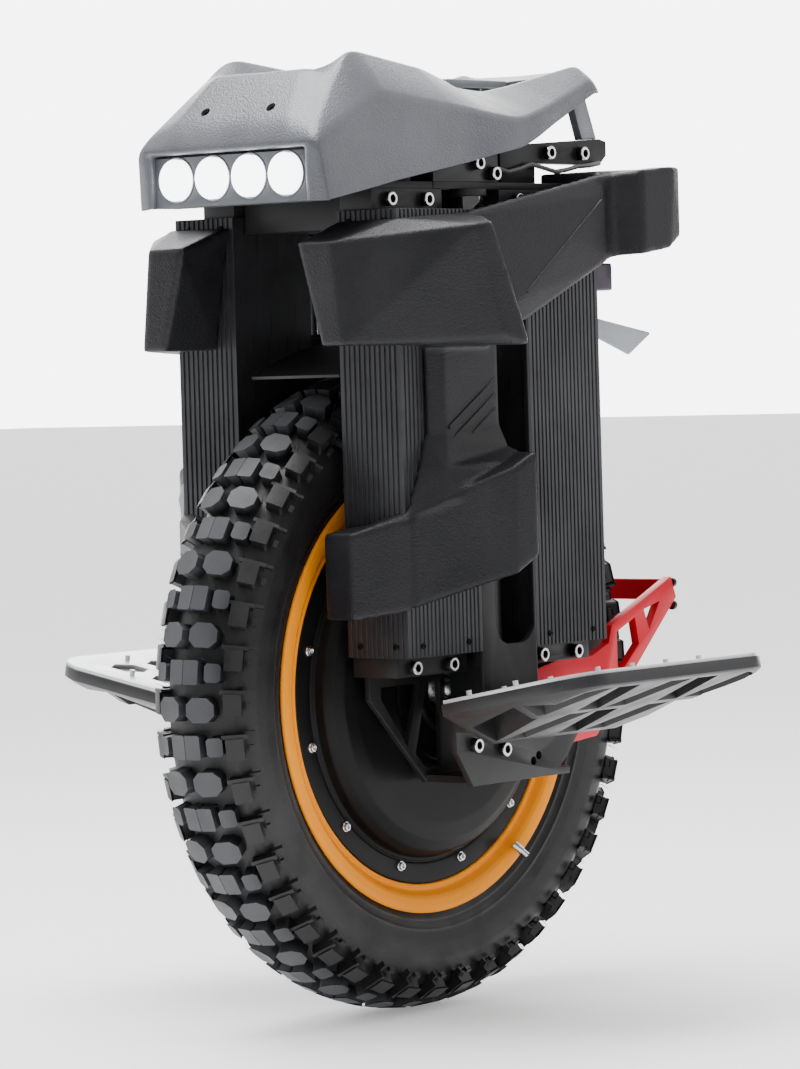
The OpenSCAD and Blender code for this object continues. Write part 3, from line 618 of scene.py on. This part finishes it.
def tread_point(u, v, height):
    """A point over the crown: u across, v along the tread, relative to the hub."""
    tilt = u / CROWN_R
    r = crown_mid + (CROWN_R + height) * math.cos(tilt)
    x = (CROWN_R + height) * math.sin(tilt)
    turn = v / (TYRE_R - KNOB_H)
    return Vector((x, r * math.sin(turn), r * math.cos(turn)))


def tyre_profile():
    outer = []
    for u in (0, 8, 16, 24, 31, 37):
        p = tread_point(u, 0, 0)
        outer.append((p.z, p.x))
    w = SIDEWALL_X
    outer += [(TYRE_R - 30, w - 1.5), (TYRE_R - 42, w), (RIM_R + 24, w - 1.5),
              (RIM_R + 14, w - 3.5), (RIM_R + 12.5, w - 3.2), (RIM_R + 11, w - 5),
              (RIM_R + 6, w - 6.6), (RIM_R + 4.6, w - 6.2), (RIM_R + 3, w - 7.6),
              (RIM_R + 0.6, w - 9.5)]
    inner = [(RIM_R - 8.6, w - 10), (RIM_R - 8.6, w - 17), (RIM_R + 10, w - 11),
             (RIM_R + 26, w - 8), (TYRE_R - 36, w - 8), (TYRE_R - 22, w - 16),
             (TYRE_R - 17, 12)]
    half = outer[1:] + inner
    return soft_profile([outer[0]] + half + mirrored(half), 2.0, 2)


carcass = keep_piece("tyre_carcass", to_mesh("tyre_carcass", lathe(tyre_profile(), 240)),
                     "wheel", "tyre_rubber")
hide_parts("tyre")
print("carcass faces:", len(carcass.data.polygons))

# %% Tread rows


def block_outline(w, l, cut):
    a, b = w / 2, l / 2
    if not cut:
        return [(-a, -b), (a, -b), (a, b), (-a, b)]
    return [(-a + cut, -b), (a - cut, -b), (a, -b + cut), (a, b - cut),
            (a - cut, b), (-a + cut, b), (-a, b - cut), (-a, -b + cut)]


def add_knob(bm, u, v, w, l, height=KNOB_H, cut=0.0, foot=1.6):
    """A tapered block with an eased top edge, standing on the crown."""
    outline = block_outline(w, l, cut)
    rings = []
    for level, grow_by in ((-1.5, foot), (1.0, foot * 0.6), (height - 1.0, 0.1),
                           (height, -0.8)):
        rings.append([bm.verts.new(tread_point(u + du + math.copysign(grow_by, du),
                                               v + dv + math.copysign(grow_by, dv),
                                               level) * MM)
                      for du, dv in outline])
    strip_faces(bm, rings)
    bm.faces.new(rings[0])
    bm.faces.new(list(reversed(rings[-1])))


def add_hair(bm, u, v, lean):
    """A vent hair: a thin rubber spike left by the mould."""
    foot = [bm.verts.new(tread_point(u + math.cos(a) * 0.5, v + math.sin(a) * 0.5, 4) * MM)
            for a in (0, 2.1, 4.2)]
    tip = bm.verts.new(tread_point(u + lean, v + 3, KNOB_H + 3.5) * MM)
    bm.faces.new(foot)
    for j in range(3):
        bm.faces.new((foot[j], foot[(j + 1) % 3], tip))


def shoulder_unit():
    """Hatched shoulder blocks of both sides, each with a lip that hooks down the sidewall."""
    bm = bmesh.new()
    for side in (-1, 1):
        add_knob(bm, side * 36.5, 0, 11.5, 17, 9.0, cut=1.5)
        for k in range(6):
            add_knob(bm, side * (31.4 + 2.05 * k), 0, 0.7, 15.5, 9.9, foot=0.1)
        add_knob(bm, side * 37, 10.2, 17, 1.6, 9.6, foot=0.8)
        add_knob(bm, side * 48, 12, 8, 1.2, 4.0, foot=0.8)
        add_knob(bm, side * 48.5, -2, 2.0, 5, 2.6, foot=0.8)
        add_hair(bm, side * 29, 13, side * 2)
    return bm


def pair_row():
    bm = bmesh.new()
    for side in (-1, 1):
        add_knob(bm, side * 13.8, 0, 19.5, 17.5, cut=5.2)
        add_hair(bm, side * 27, 2, side)
    return bm


def split_row():
    bm = bmesh.new()
    for side in (-1, 1):
        add_knob(bm, side * 6.2, 0, 10.4, 17, cut=1.0, foot=0.7)
        add_knob(bm, side * 23.0, 0, 10, 13, cut=2.0)
        add_hair(bm, side * 15.6, 9, -side)
    return bm


half_step = math.pi / PITCHES
pairs = around("tread_pair_rows", pair_row(), PITCHES, 0.0, "wheel", "tyre_rubber")
splits = around("tread_split_rows", split_row(), PITCHES, half_step, "wheel", "tyre_rubber")
around("tread_shoulders", shoulder_unit(), SHOULDERS, 0.02, "wheel", "tyre_rubber")
print("tread faces:", len(pairs.data.polygons) + len(splits.data.polygons))

# %% [markdown]
# ## Rim and motor
#
# The rim is a deep ring with a broad bright lip, a shadowed drop inside it and a thin inner
# edge. The motor covers are spun drums: a flat flange that carries the bolts, a soft shoulder
# and a wide flat face. All are lathes, because a lathe keeps their highlights perfectly round.

# %% Rim
RIM_HALF = box_mm("rim")[1].x


def rim_profile():
    h = RIM_HALF
    half = [(RIM_R - 24, h - 8), (RIM_R - 22.2, h - 6.6), (RIM_R - 20.6, h - 8.4),
            (RIM_R - 18.5, h - 7.8), (RIM_R - 14.5, h - 2.6), (RIM_R - 11.5, h - 0.6),
            (RIM_R - 6, h), (RIM_R - 1.2, h - 0.2), (RIM_R, h - 2), (RIM_R - 0.8, h - 4),
            (RIM_R - 8.5, h - 5), (RIM_R - 9, h - 14), (RIM_R - 17, h - 19)]
    return soft_profile(half + mirrored(half), 1.1)


rim = keep_piece("rim_ring", to_mesh("rim_ring", lathe(rim_profile(), 256)), "wheel",
                 "rim_orange", sharp=50)
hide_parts("rim")

# %% Motor covers
COVER_X = box_mm("cover_bolts")[1].x - 3
DRUM_X = 48.5


def cover_profile(side):
    points = [(26, DRUM_X - 6), (118, DRUM_X - 7), (131, DRUM_X - 14), (134, COVER_X - 5),
              (RIM_R - 24.2, COVER_X - 5), (RIM_R - 24.2, COVER_X), (146, COVER_X + 0.1),
              (145.4, COVER_X - 0.9), (144.2, COVER_X - 0.9), (143.6, COVER_X + 0.1),
              (141, COVER_X + 0.8), (139.5, COVER_X + 9), (135, DRUM_X - 5.5),
              (126, DRUM_X - 1.4), (112, DRUM_X), (64, DRUM_X), (62.5, DRUM_X - 1),
              (60.5, DRUM_X - 1), (59, DRUM_X), (38, DRUM_X), (35, DRUM_X + 3.4),
              (26, DRUM_X + 3.6)]
    return soft_profile([(r, side * x) for r, x in points], 1.6)


for side, label in SIDES:
    drum = keep_piece("motor_drum_" + label,
                      to_mesh("motor_drum", lathe(cover_profile(side), 200)), "wheel",
                      "motor_black", sharp=50)
    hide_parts("motor_cover_" + label)

# %% [markdown]
# ## Screws and bolts
#
# A socket bolt is a round head with an eased rim and a round recess that goes
# dark inside, on a washer where one is given. It is lathed once along X, and the trees set it
# wherever the frame has one.

# %% A bolt unit along X


def turned_rings(bm, outline, middle=(0, 0, 0), segments=20):
    """A ring of vertices about an X line for each (x, radius) of the outline."""
    turns = [2 * math.pi * i / segments for i in range(segments)]
    return [[bm.verts.new((Vector(middle) + Vector((x, r * math.cos(a), r * math.sin(a)))) * MM)
             for a in turns] for x, r in outline]


def add_turned_x(bm, outline, middle=(0, 0, 0), segments=20):
    """A solid about an X line from points of (x, radius), closed at both ends."""
    rings = turned_rings(bm, outline, middle, segments)
    strip_faces(bm, rings)
    bm.faces.new(rings[0])
    bm.faces.new(list(reversed(rings[-1])))


def turned_ring(outline, segments):
    """A ring about an X line, whose outline of (x, radius) closes on itself."""
    bm = bmesh.new()
    strip_faces(bm, turned_rings(bm, outline, segments=segments), closed_row=True)
    return bm


def bolt_unit(head_r, head_h, socket_r, washer=0.0, middle=(0, 0, 0), segments=20):
    bm = bmesh.new()
    if washer:
        add_turned_x(bm, [(-0.2, washer), (1.0, washer), (1.3, washer - 0.3),
                          (1.3, head_r * 0.6)], middle, segments)
    add_turned_x(bm, [(0.4, head_r), (head_h - 0.8, head_r), (head_h - 0.2, head_r - 0.3),
                      (head_h, head_r - 0.9), (head_h, socket_r + 0.5),
                      (head_h - 0.4, socket_r), (head_h * 0.4, socket_r * 0.96),
                      (head_h * 0.4, 0.2)], middle, segments)
    return bm


def ring_unit(outer, inner, front):
    """The bright ground face round a bolt's socket."""
    return turned_ring([(front - 1.2, outer), (front - 0.3, outer),
                        (front + 0.1, outer - 0.5), (front + 0.1, inner + 0.4),
                        (front - 0.4, inner), (front - 1.2, inner)], 24)


def both_ways(name, unit, points, body, slot, node=None):
    """The unit on points of the right side and, turned round, on the left side."""
    made = []
    for side, label in SIDES:
        spots = [(side * x, y, z) for x, y, z in points]
        turn = (0.0, 0.0, 0.0) if side > 0 else (0.0, 0.0, math.pi)
        made.append(on_points(f"{name}_{label}", unit(), spots, turn, body, slot))
    if node:
        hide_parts(node)
    return made


# %% Cover bolts and frame bolts
BOLT_CIRCLE = RIM_R - 37
bolt_spots = [(COVER_X, BOLT_CIRCLE * math.sin(turn), HUB_Z + BOLT_CIRCLE * math.cos(turn))
              for turn in (math.radians(degrees) for degrees in range(15, 360, 30))]
both_ways("cover_bolt", lambda: bolt_unit(3.4, 3.4, 1.6, 4.3, segments=18), bolt_spots,
          "wheel", "bright_steel", "cover_bolts")


def parts_of(node):
    """The separate solids of a part that is a group, as (lowest, highest) corners in mm."""
    bm = bmesh.new()
    bm.from_mesh(frame["nodes"][node].data)
    bmesh.ops.remove_doubles(bm, verts=bm.verts, dist=0.005 * MM)
    left, boxes = set(bm.verts), []
    while left:
        stack, seen = [left.pop()], set()
        while stack:
            v = stack.pop()
            seen.add(v)
            for e in v.link_edges:
                other = e.other_vert(v)
                if other in left:
                    left.discard(other)
                    stack.append(other)
        xs, ys, zs = zip(*[v.co / MM for v in seen])
        boxes.append((Vector((min(xs), min(ys), min(zs))), Vector((max(xs), max(ys), max(zs)))))
    bm.free()
    return boxes


frame_spots = []
for low, high in parts_of("frame_bolts"):
    if low.x > 0:
        middle = (low + high) / 2
        frame_spots.append((high.x - 6.2, middle.y, middle.z))
both_ways("frame_bolt", lambda: bolt_unit(5.6, 6.0, 2.9), frame_spots, "chassis",
          "fork_black")
both_ways("bolt_ring", lambda: ring_unit(5.7, 3.1, 6.0), frame_spots, "chassis",
          "bright_steel", "frame_bolts")
print("frame bolts on each side:", len(frame_spots))

# %% [markdown]
# ## Battery columns
#
# The columns are drawn aluminium extrusions, so their grooves already run straight down the
# frame's solids. They get eased ridges and streaks that follow the draw, and small black
# screws hold the end plates at the top and the bottom of each face.

# %% Columns and their end screws
for spot in ("front_right", "front_left", "rear_right", "rear_left"):
    refine("battery_case_" + spot, 0.3, angle=40, segments=1)


def small_screw():
    bm = bmesh.new()
    add_turned_x(bm, [(-0.5, 2.6), (0.9, 2.6), (1.4, 2.1), (1.4, 1.2), (0.5, 1.0), (0.5, 0.2)],
                 segments=12)
    return bm


def column_screws():
    out, inset = COLUMN_HIGH, 9
    rows = (COLUMN_LOW.z + inset, COLUMN_HIGH.z - inset)
    side_ys = [COLUMN_LOW.y + 18, COLUMN_HIGH.y - 18]
    side = [(out.x, sign * y, z) for sign in (1, -1) for y in side_ys for z in rows]
    both_ways("column_side_screw", small_screw, side, "chassis", "motor_black")
    face_xs = [COLUMN_LOW.x + 13, COLUMN_HIGH.x - 13]
    for sign, turn, label in ((-1, -math.pi / 2, "front"), (1, math.pi / 2, "rear")):
        spots = [(s * x, sign * out.y, z) for s in (1, -1) for x in face_xs for z in rows]
        on_points(f"column_{label}_screw", small_screw(), spots, (0, 0, turn), "chassis",
                  "motor_black")


column_screws()

# %% [markdown]
# ## Machined and folded parts
#
# Brackets, plates, pedals and guards keep the frame's shape. A fine eased edge is what makes
# a machined part look real, because it catches a thin line of light.

# %% Refine the machined parts
EASED = {
    "column_feet": 1.2, "column_heads": 1.2, "side_frame_right": 0.8, "side_frame_left": 0.8,
    "stanchion_collars": 1.0, "top_deck": 0.8, "crown_blocks": 1.4, "controller_case": 1.2,
    "headlight_housing": 1.2, "handle_bar": 1.2, "handle_posts": 0.8, "tail_struts": 0.8,
    "tail_brackets": 1.4, "hanger_right": 0.9, "hanger_left": 0.9, "pedal_pins": 0.8,
    "rear_guard_right": 1.2, "rear_guard_left": 1.2, "rear_guard_plate": 1.0,
    "tail_light": 2.0, "rear_visor": 0.8, "pedal_right": 1.0, "pedal_left": 1.0,
    "grip_plate_right": 0.4, "grip_plate_left": 0.4, "lift_button": 0.5,
    "power_button": 0.5, "charge_cap": 0.5, "fork_leg_right": 1.0, "fork_leg_left": 1.0,
    "mudguard_stays": 0.8, "axle_nuts": 0.8, "valve_stem": 0.4,
}
for node, width in EASED.items():
    refine(node, width)
print("refined parts:", len(EASED) + 4)

# %% [markdown]
# ## Guard bolts
#
# Two dark bolts at each end hold the red cross plate to the guard's side plates. Their heads
# face the rear.

# %% Bolts at the ends of the guard's cross plate
PLATE_LOW, PLATE_HIGH = box_mm("rear_guard_plate")
ARM_MIDDLE = box_mm("rear_guard_right")[0].x + 5
BOLT_Y = PLATE_HIGH.y + 1.5
BOLT_ZS = (PLATE_HIGH.z - 3.5, PLATE_LOW.z - 5.0)
for side, label in SIDES:
    on_points("guard_bolt_" + label, bolt_unit(4.2, 4.2, 1.7),
              [(side * ARM_MIDDLE, BOLT_Y, z) for z in BOLT_ZS], (0, 0, math.pi / 2),
              "chassis", "fork_black")
print("guard bolts:", len(BOLT_ZS) * 2)

# %% [markdown]
# ## Side bumpers
#
# Each bumper is one foam moulding with a hard skin. Its volume is built from plain convex
# blocks set round the column. A voxel remesh melts them into one skin, a few rounds of
# smoothing give every edge the moulding's radius, and ribs are laid on afterwards.

# %% Build a bumper


def add_hull(bm, points):
    """A convex block round a few corner points."""
    verts = [bm.verts.new(Vector(p) * MM) for p in points]
    made = bmesh.ops.convex_hull(bm, input=verts)
    spare = [g for g in made["geom_interior"] if isinstance(g, bmesh.types.BMVert)]
    bmesh.ops.delete(bm, geom=spare, context="VERTS")


def melt(bm, voxel, rounds):
    """One skin round overlapping blocks, with smoothed edges."""
    thing = put_in_scene("melt", to_mesh("melt", bm))
    remesh = thing.modifiers.new("Remesh", "REMESH")
    remesh.mode = "VOXEL"
    remesh.voxel_size = voxel * MM
    smooth = thing.modifiers.new("Smooth", "SMOOTH")
    smooth.iterations = rounds
    smooth.factor = 0.5
    mesh = settled(thing)
    bpy.data.objects.remove(thing)
    return mesh


GAP = 0.4
FACE = COLUMN_HIGH.x + GAP
FRONT = -COLUMN_HIGH.y - GAP
REAR = COLUMN_HIGH.y + GAP
VOXEL, SMOOTHING_ROUNDS = 2.2, 6


def bumper_blocks(s):
    """Corner points of the blocks that make one bumper, for side s."""
    blocks = [
        # upper front block: the part before the column, then the flare outwards
        [(61, -184, 631), (98, -184, 631), (84, -184, 549), (107, -184, 549),
         (58, FRONT, 649), (FACE + 6, FRONT, 649), (76, FRONT, 549), (FACE + 6, FRONT, 549)],
        [(98, -184, 631), (107, -184, 549), (FACE, -130, 548), (FACE, -130, 649),
         (174, -97, 642), (178, -82, 644), (179, -72, 553), (185, -47, 546),
         (FACE, -34, 547), (FACE, -46, 654), (150, -36, 548), (144, -52, 650)],
        # band along the side, with the crease that runs down and forwards
        [(FACE, -70, 650), (126, -70, 649), (FACE, 130, 686), (126, 130, 685),
         (133.5, 124, 668), (133.5, 8, 583), (127, -60, 553), (FACE, -60, 553),
         (129, 20, 566), (FACE, 20, 566), (129, 130, 613), (FACE, 130, 613)],
        # rear block, wrapped round the rear column
        [(FACE, 116, 612), (FACE, 116, 684), (129, 122, 613), (129, 122, 684),
         (129, 140, 617), (129, 140, 686), (FACE, 206, 634), (FACE, 206, 692)],
        [(FACE, 140, 618), (FACE, 140, 686), (131, 140, 618), (131, 140, 686),
         (153, 150, 619), (153, 150, 689), (155, 184, 624), (155, 190, 692),
         (150, 205, 634), (150, 205, 692), (FACE, 205, 634), (FACE, 205, 693),
         (FACE, 184, 623)],
        [(60, REAR, 617), (60, REAR, 689), (60, 205, 632), (60, 205, 692),
         (FACE + 4, REAR, 616), (FACE + 4, REAR, 689), (FACE + 4, 205, 632),
         (FACE + 4, 205, 692)],
        # neck
        [(FACE, -102, 415), (FACE, -18, 432), (FACE, -102, 560), (FACE, -18, 560),
         (123, -101, 415), (131.5, -92, 430), (131.5, -24, 440), (128, -19, 432),
         (123, -101, 560), (131.5, -92, 560), (131.5, -24, 560), (128, -19, 560)],
        # slope from the neck out to the lower block
        [(FACE, -104, 476), (131, -92, 476), (131, -20, 482), (FACE, -18, 482),
         (FACE, -114, 448), (139, -100, 452), (140, -22, 466), (FACE, -18, 466)],
        [(FACE, -114, 448), (139, -100, 452), (140, -22, 466), (FACE, -18, 466),
         (FACE, -130, 412), (150, -104, 424), (166, -60, 446), (168, -42, 454),
         (156, -26, 460)],
        # lower front block
        [(57, -157, 331), (57, -157, 400), (86, -157, 331), (86, -157, 400),
         (57, FRONT, 334), (57, FRONT, 404), (FACE + 6, FRONT, 338), (FACE + 6, FRONT, 412)],
        [(86, -157, 331), (86, -157, 400), (FACE, -130, 338), (FACE, -130, 414),
         (181, -66, 365), (181, -66, 450), (186, -44, 379), (185, -43, 462),
         (FACE, -15, 366), (FACE, -15, 458), (142, -17, 368), (142, -17, 462)],
    ]
    return [[(s * x, y, z) for x, y, z in block] for block in blocks]


def add_ridge(bm, s, start, end, half_width, rise):
    """A shallow raised line on the skin between two points of (x, y, z)."""
    a, b = Vector(start), Vector(end)
    across = (b - a).cross(Vector((1, 0, 0))).normalized() * half_width
    points = []
    for p in (a, b):
        points += [p + across - Vector((2, 0, 0)), p - across - Vector((2, 0, 0)),
                   p + across * 0.35 + Vector((rise, 0, 0)),
                   p - across * 0.35 + Vector((rise, 0, 0))]
    add_hull(bm, [(s * p.x, p.y, p.z) for p in points])


def make_bumper(s, label):
    bm = bmesh.new()
    for block in bumper_blocks(s):
        add_hull(bm, block)
    mesh = melt(bm, VOXEL, SMOOTHING_ROUNDS)
    bm = bmesh.new()
    bm.from_mesh(mesh)
    for k in range(3):
        add_ridge(bm, s, (130.5, -87, 458 + 12 * k), (130.5, -27, 495 + 12 * k), 3.6, 2.2)
    add_ridge(bm, s, (132.2, 16, 589), (132.6, 118, 664), 2.2, 1.9)
    piece = keep_piece("bumper_skin_" + label, to_mesh("bumper_skin", bm, outward=False),
                       "chassis", "bumper_foam", sharp=60)
    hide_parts("bumper_" + label)
    return piece


for s, label in SIDES:
    skin = make_bumper(s, label)
print("bumper faces:", len(skin.data.polygons))

# %% [markdown]
# ## Top shell
#
# The shell is a thin moulding, so it is made as one surface and then given its wall. Five
# lines run from the nose to the tail: the middle, the inner panel edge, the ridge, the side
# crease and the lower edge. Softening along the lines and then across them rounds every edge.

# %% Shell surface
SHELL_LINES = [
    [(0, -188, 706), (0, -197, 706), (0, -198, 711), (0, -191, 727), (0, -150, 773),
     (0, -138, 764), (0, -112, 762), (0, -16, 760), (0, 13, 757), (0, 29, 754), (0, 68, 752),
     (0, 103, 757), (0, 188, 779), (0, 199, 762)],
    [(60, -188, 706), (60, -197, 706), (64, -198, 711), (60, -191, 727), (46, -150, 773),
     (42, -138, 765), (42, -112, 764), (40, -16, 763), (39, 13, 759), (39, 29, 756),
     (39, 68, 754), (39, 103, 759), (50, 188, 780), (50, 199, 762)],
    [(82, -188, 706), (82, -197, 706), (91, -198, 711), (88, -190, 722), (72, -144, 763),
     (65, -124, 783), (62, -110, 787), (55, -16, 775), (52, 13, 767), (50, 29, 761),
     (49, 68, 758), (51, 103, 764), (62, 186, 784), (62, 198, 761)],
    [(82, -188, 703), (82, -197, 703), (96, -197, 706), (96, -190, 714), (92, -150, 734),
     (90, -130, 743), (88, -112, 751), (97, -16, 740), (104, 13, 735), (110, 44, 731),
     (105, 70, 737), (98, 103, 746), (77, 186, 770), (75, 196, 760)],
    [(82, -188, 664), (82, -196, 664), (100, -190, 663), (101, -186, 664), (102, -150, 671),
     (103, -130, 675), (104, -112, 679), (107, -16, 696), (109, 13, 702), (110, 46, 708),
     (106, 70, 716), (97, 103, 728), (78, 186, 758), (76, 193, 758)],
]
SHELL_WALL = 3.2


def shell_surface():
    along = [soften(line, 11, steps=4) for line in SHELL_LINES]
    bm = bmesh.new()
    rings = []
    for i in range(len(along[0])):
        right = [line[i] for line in along]
        left = [Vector((-p.x, p.y, p.z)) for p in right[1:]]
        ring = soften(list(reversed(right)) + left, 4.5, steps=3)
        rings.append([bm.verts.new(p * MM) for p in ring])
    strip_faces(bm, rings, closed_ring=False)
    bmesh.ops.recalc_face_normals(bm, faces=bm.faces)
    if sum(f.normal.z for f in bm.faces) < 0:
        bmesh.ops.reverse_faces(bm, faces=bm.faces)
    return bm


def cutter_box(low, high, radius):
    """A block with rounded upright edges, to cut a hole with."""
    corners = [(low[0], low[1], 0), (high[0], low[1], 0), (high[0], high[1], 0),
               (low[0], high[1], 0)]
    outline = soften(corners, radius, True, 5)
    bm = bmesh.new()
    rings = [[bm.verts.new(Vector((p.x, p.y, z)) * MM) for p in outline]
             for z in (low[2], high[2])]
    strip_faces(bm, rings)
    bm.faces.new(rings[0])
    bm.faces.new(list(reversed(rings[1])))
    return to_mesh("cutter", bm)


def carve(mesh, cutters):
    """The mesh with its wall, and with the cutters taken out of it."""
    thing = put_in_scene("shell", mesh)
    wall = thing.modifiers.new("Wall", "SOLIDIFY")
    wall.thickness = SHELL_WALL * MM
    wall.offset = -1
    spare = []
    for cutter in cutters:
        tool = put_in_scene("cutter", cutter)
        cut = thing.modifiers.new("Cut", "BOOLEAN")
        cut.object = tool
        cut.operation = "DIFFERENCE"
        cut.solver = "EXACT"
        spare.append(tool)
    result = settled(thing)
    for tool in spare + [thing]:
        bpy.data.objects.remove(tool)
    return result


HANDLE_LOW, HANDLE_HIGH = box_mm("handle_bar")
HOLE_HALF, HOLE_CORNER = 36, 9
SCREW_X, SCREW_Y, SCREW_Z = 35, -180, 740
PANEL_SLOPE = 41


def on_panel(x, outline):
    """A turned solid whose line stands square on the sloping nose panel."""
    bm = bmesh.new()
    add_turned_x(bm, outline, segments=24)
    for degrees, axis in ((-PANEL_SLOPE, "Y"), (-90, "Z")):
        bmesh.ops.rotate(bm, verts=bm.verts,
                         matrix=Matrix.Rotation(math.radians(degrees), 3, axis))
    bmesh.ops.translate(bm, verts=bm.verts, vec=Vector((x, SCREW_Y, SCREW_Z)) * MM)
    return bm


shell_mesh = carve(to_mesh("shell", shell_surface(), outward=False), [
    cutter_box((-HOLE_HALF, HANDLE_LOW.y - 2, 730), (HOLE_HALF, HANDLE_HIGH.y + 2, 800),
               HOLE_CORNER)] +
    [to_mesh("hole", on_panel(side * SCREW_X, [(-9, 4.3), (12, 4.3)])) for side, _ in SIDES])
shell = keep_piece("top_shell_skin", shell_mesh, "chassis", "shell_plastic", sharp=50)
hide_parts("top_shell")
sunk = bmesh.new()
for side, _ in SIDES:
    sunk.from_mesh(to_mesh("screw", on_panel(side * SCREW_X, [
        (-9, 4.1), (-4.0, 4.1), (-3.4, 3.6), (-3.4, 1.9), (-6, 1.7), (-6, 0.2)])))
screws = keep_piece("shell_screw_heads", to_mesh("shell_screws", sunk), "chassis",
                    "motor_black")
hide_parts("shell_screws")
print("shell faces:", len(shell.data.polygons))

# %% [markdown]
# ## Headlights
#
# Four round lamps sit in a grey panel. Each lens is a low glass dome in a thin ring,
# and it glows, because the lamps are on.

# %% Lamp lenses
lens_boxes = parts_of("headlight_lenses")
lens_spots = [((a.x + b.x) / 2, a.y, (a.z + b.z) / 2) for a, b in lens_boxes]
LENS_R = (lens_boxes[0][1].z - lens_boxes[0][0].z) / 2 - 0.8


def lens_unit():
    bm = bmesh.new()
    outline = [(-9, LENS_R - 1)] + [(2.6 * math.cos(a), (LENS_R - 0.4) * math.sin(a))
                                    for a in (1.45, 1.2, 0.95, 0.7, 0.45, 0.2, 0.05)]
    add_turned_x(bm, outline, segments=40)
    return bm


def lens_ring_unit():
    r = LENS_R
    return turned_ring([(-2, r + 1.6), (0.2, r + 1.6), (0.8, r + 1.2), (0.8, r + 0.4),
                        (0.2, r), (-2, r)], 40)


FACING_FRONT = (0.0, 0.0, -math.pi / 2)
lamps = on_points("lamp_lens", lens_unit(), lens_spots, FACING_FRONT, "chassis", "lamp_white")
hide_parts("headlight_lenses")
ring_spots = [(x, y + 3, z) for x, y, z in lens_spots]
on_points("lamp_ring", lens_ring_unit(), ring_spots, FACING_FRONT, "chassis", "panel_grey")

# %% [markdown]
# ## Floor, light and camera
#
# A pale floor and big soft lights keep the black parts readable: one lamp overhead, one on
# each side and a weak one in front. The camera stands low and far away with a long lens.

# %% Floor and lights


def pale_floor():
    bm = bmesh.new()
    bmesh.ops.create_grid(bm, x_segments=1, y_segments=1, size=30)
    floor = put_in_scene("floor", to_mesh("floor", bm, outward=False))
    material = bpy.data.materials.new("pale floor")
    material.use_nodes = True
    shader = material.node_tree.nodes["Principled BSDF"]
    for label, value in (("Base Color", (0.95, 0.95, 0.95, 1)), ("Roughness", 0.7),
                         ("Emission Color", (1, 1, 1, 1)), ("Emission Strength", 0.3)):
        shader.inputs[label].default_value = value
    floor.data.materials.append(material)
    return floor


floor = pale_floor()

world = bpy.context.scene.world or bpy.data.worlds.new("studio")
bpy.context.scene.world = world
world.use_nodes = True


def paint_world(tree):
    """White wall behind the unicycle, soft sky above, and a dim room all round."""
    ease = {"interpolation_type": "SMOOTHSTEP"}
    lay_out(tree, {"sky": tree.nodes["Background"]}, {
        "place": PLACE,
        "toward": ("VectorMath", {"operation": "DOT_PRODUCT"}, {1: (-0.643, 0.766, 0.0)}),
        "split": ("SeparateXYZ", {}, {}),
        "wall": ("MapRange", ease,
                 {"From Min": 0.72, "From Max": 0.95, "To Min": 0.0, "To Max": WALL}),
        "above": ("MapRange", ease,
                  {"From Min": 0.15, "From Max": 0.95, "To Min": ROOM, "To Max": SKY}),
        "total": ("Math", {"operation": "ADD"}, {}),
    }, """
        place.Generated > toward.0, split.0
        toward.Value > wall.Value
        split.Z > above.Value
        wall.Result > total.0
        above.Result > total.1
        total.0 > sky.Strength""")
    tree.nodes["Background"].inputs["Color"].default_value = (1.0, 1.0, 1.0, 1.0)


WALL, ROOM, SKY = 6.5, 0.10, 1.5
paint_world(world.node_tree)


def softbox(name, place, aim, size, power):
    lamp = bpy.data.lights.new(name, "AREA")
    lamp.shape = "RECTANGLE"
    lamp.size, lamp.size_y = size
    lamp.energy = power
    thing = put_in_scene(name, lamp)
    thing.location = place
    thing.rotation_euler = (Vector(aim) - Vector(place)).to_track_quat("-Z", "Y").to_euler()


MIDDLE = (0, 0, 0.45)
softbox("overhead", (-0.3, -0.2, 2.5), MIDDLE, (1.8, 1.8), 105)
softbox("left side", (-2.2, -0.9, 1.2), MIDDLE, (1.0, 2.0), 16)
softbox("right rear", (1.6, 2.0, 1.4), MIDDLE, (1.0, 1.8), 11)
softbox("front fill", (2.4, -2.2, 1.6), MIDDLE, (1.4, 1.4), 4)

# %% Camera
CAMERA_PLACE = Vector((2.42779, -2.88889, 0.53344))
AZIMUTH, DIP, LEAN = math.radians(39.99), math.radians(2.14), math.radians(-1.69)
LENS = 153.4


def camera_turn():
    ahead = Vector((-math.sin(AZIMUTH) * math.cos(DIP), math.cos(AZIMUTH) * math.cos(DIP),
                    -math.sin(DIP)))
    right = Vector((math.cos(AZIMUTH), math.sin(AZIMUTH), 0))
    up = right.cross(ahead)
    x = math.cos(LEAN) * right + math.sin(LEAN) * up
    y = -math.sin(LEAN) * right + math.cos(LEAN) * up
    return Matrix((x, y, -ahead)).transposed().to_euler()


camera = put_in_scene("camera", bpy.data.cameras.new("camera"))
camera.data.lens = LENS
camera.data.sensor_width = 36.0
camera.location = CAMERA_PLACE
camera.rotation_euler = camera_turn()
bpy.context.scene.camera = camera
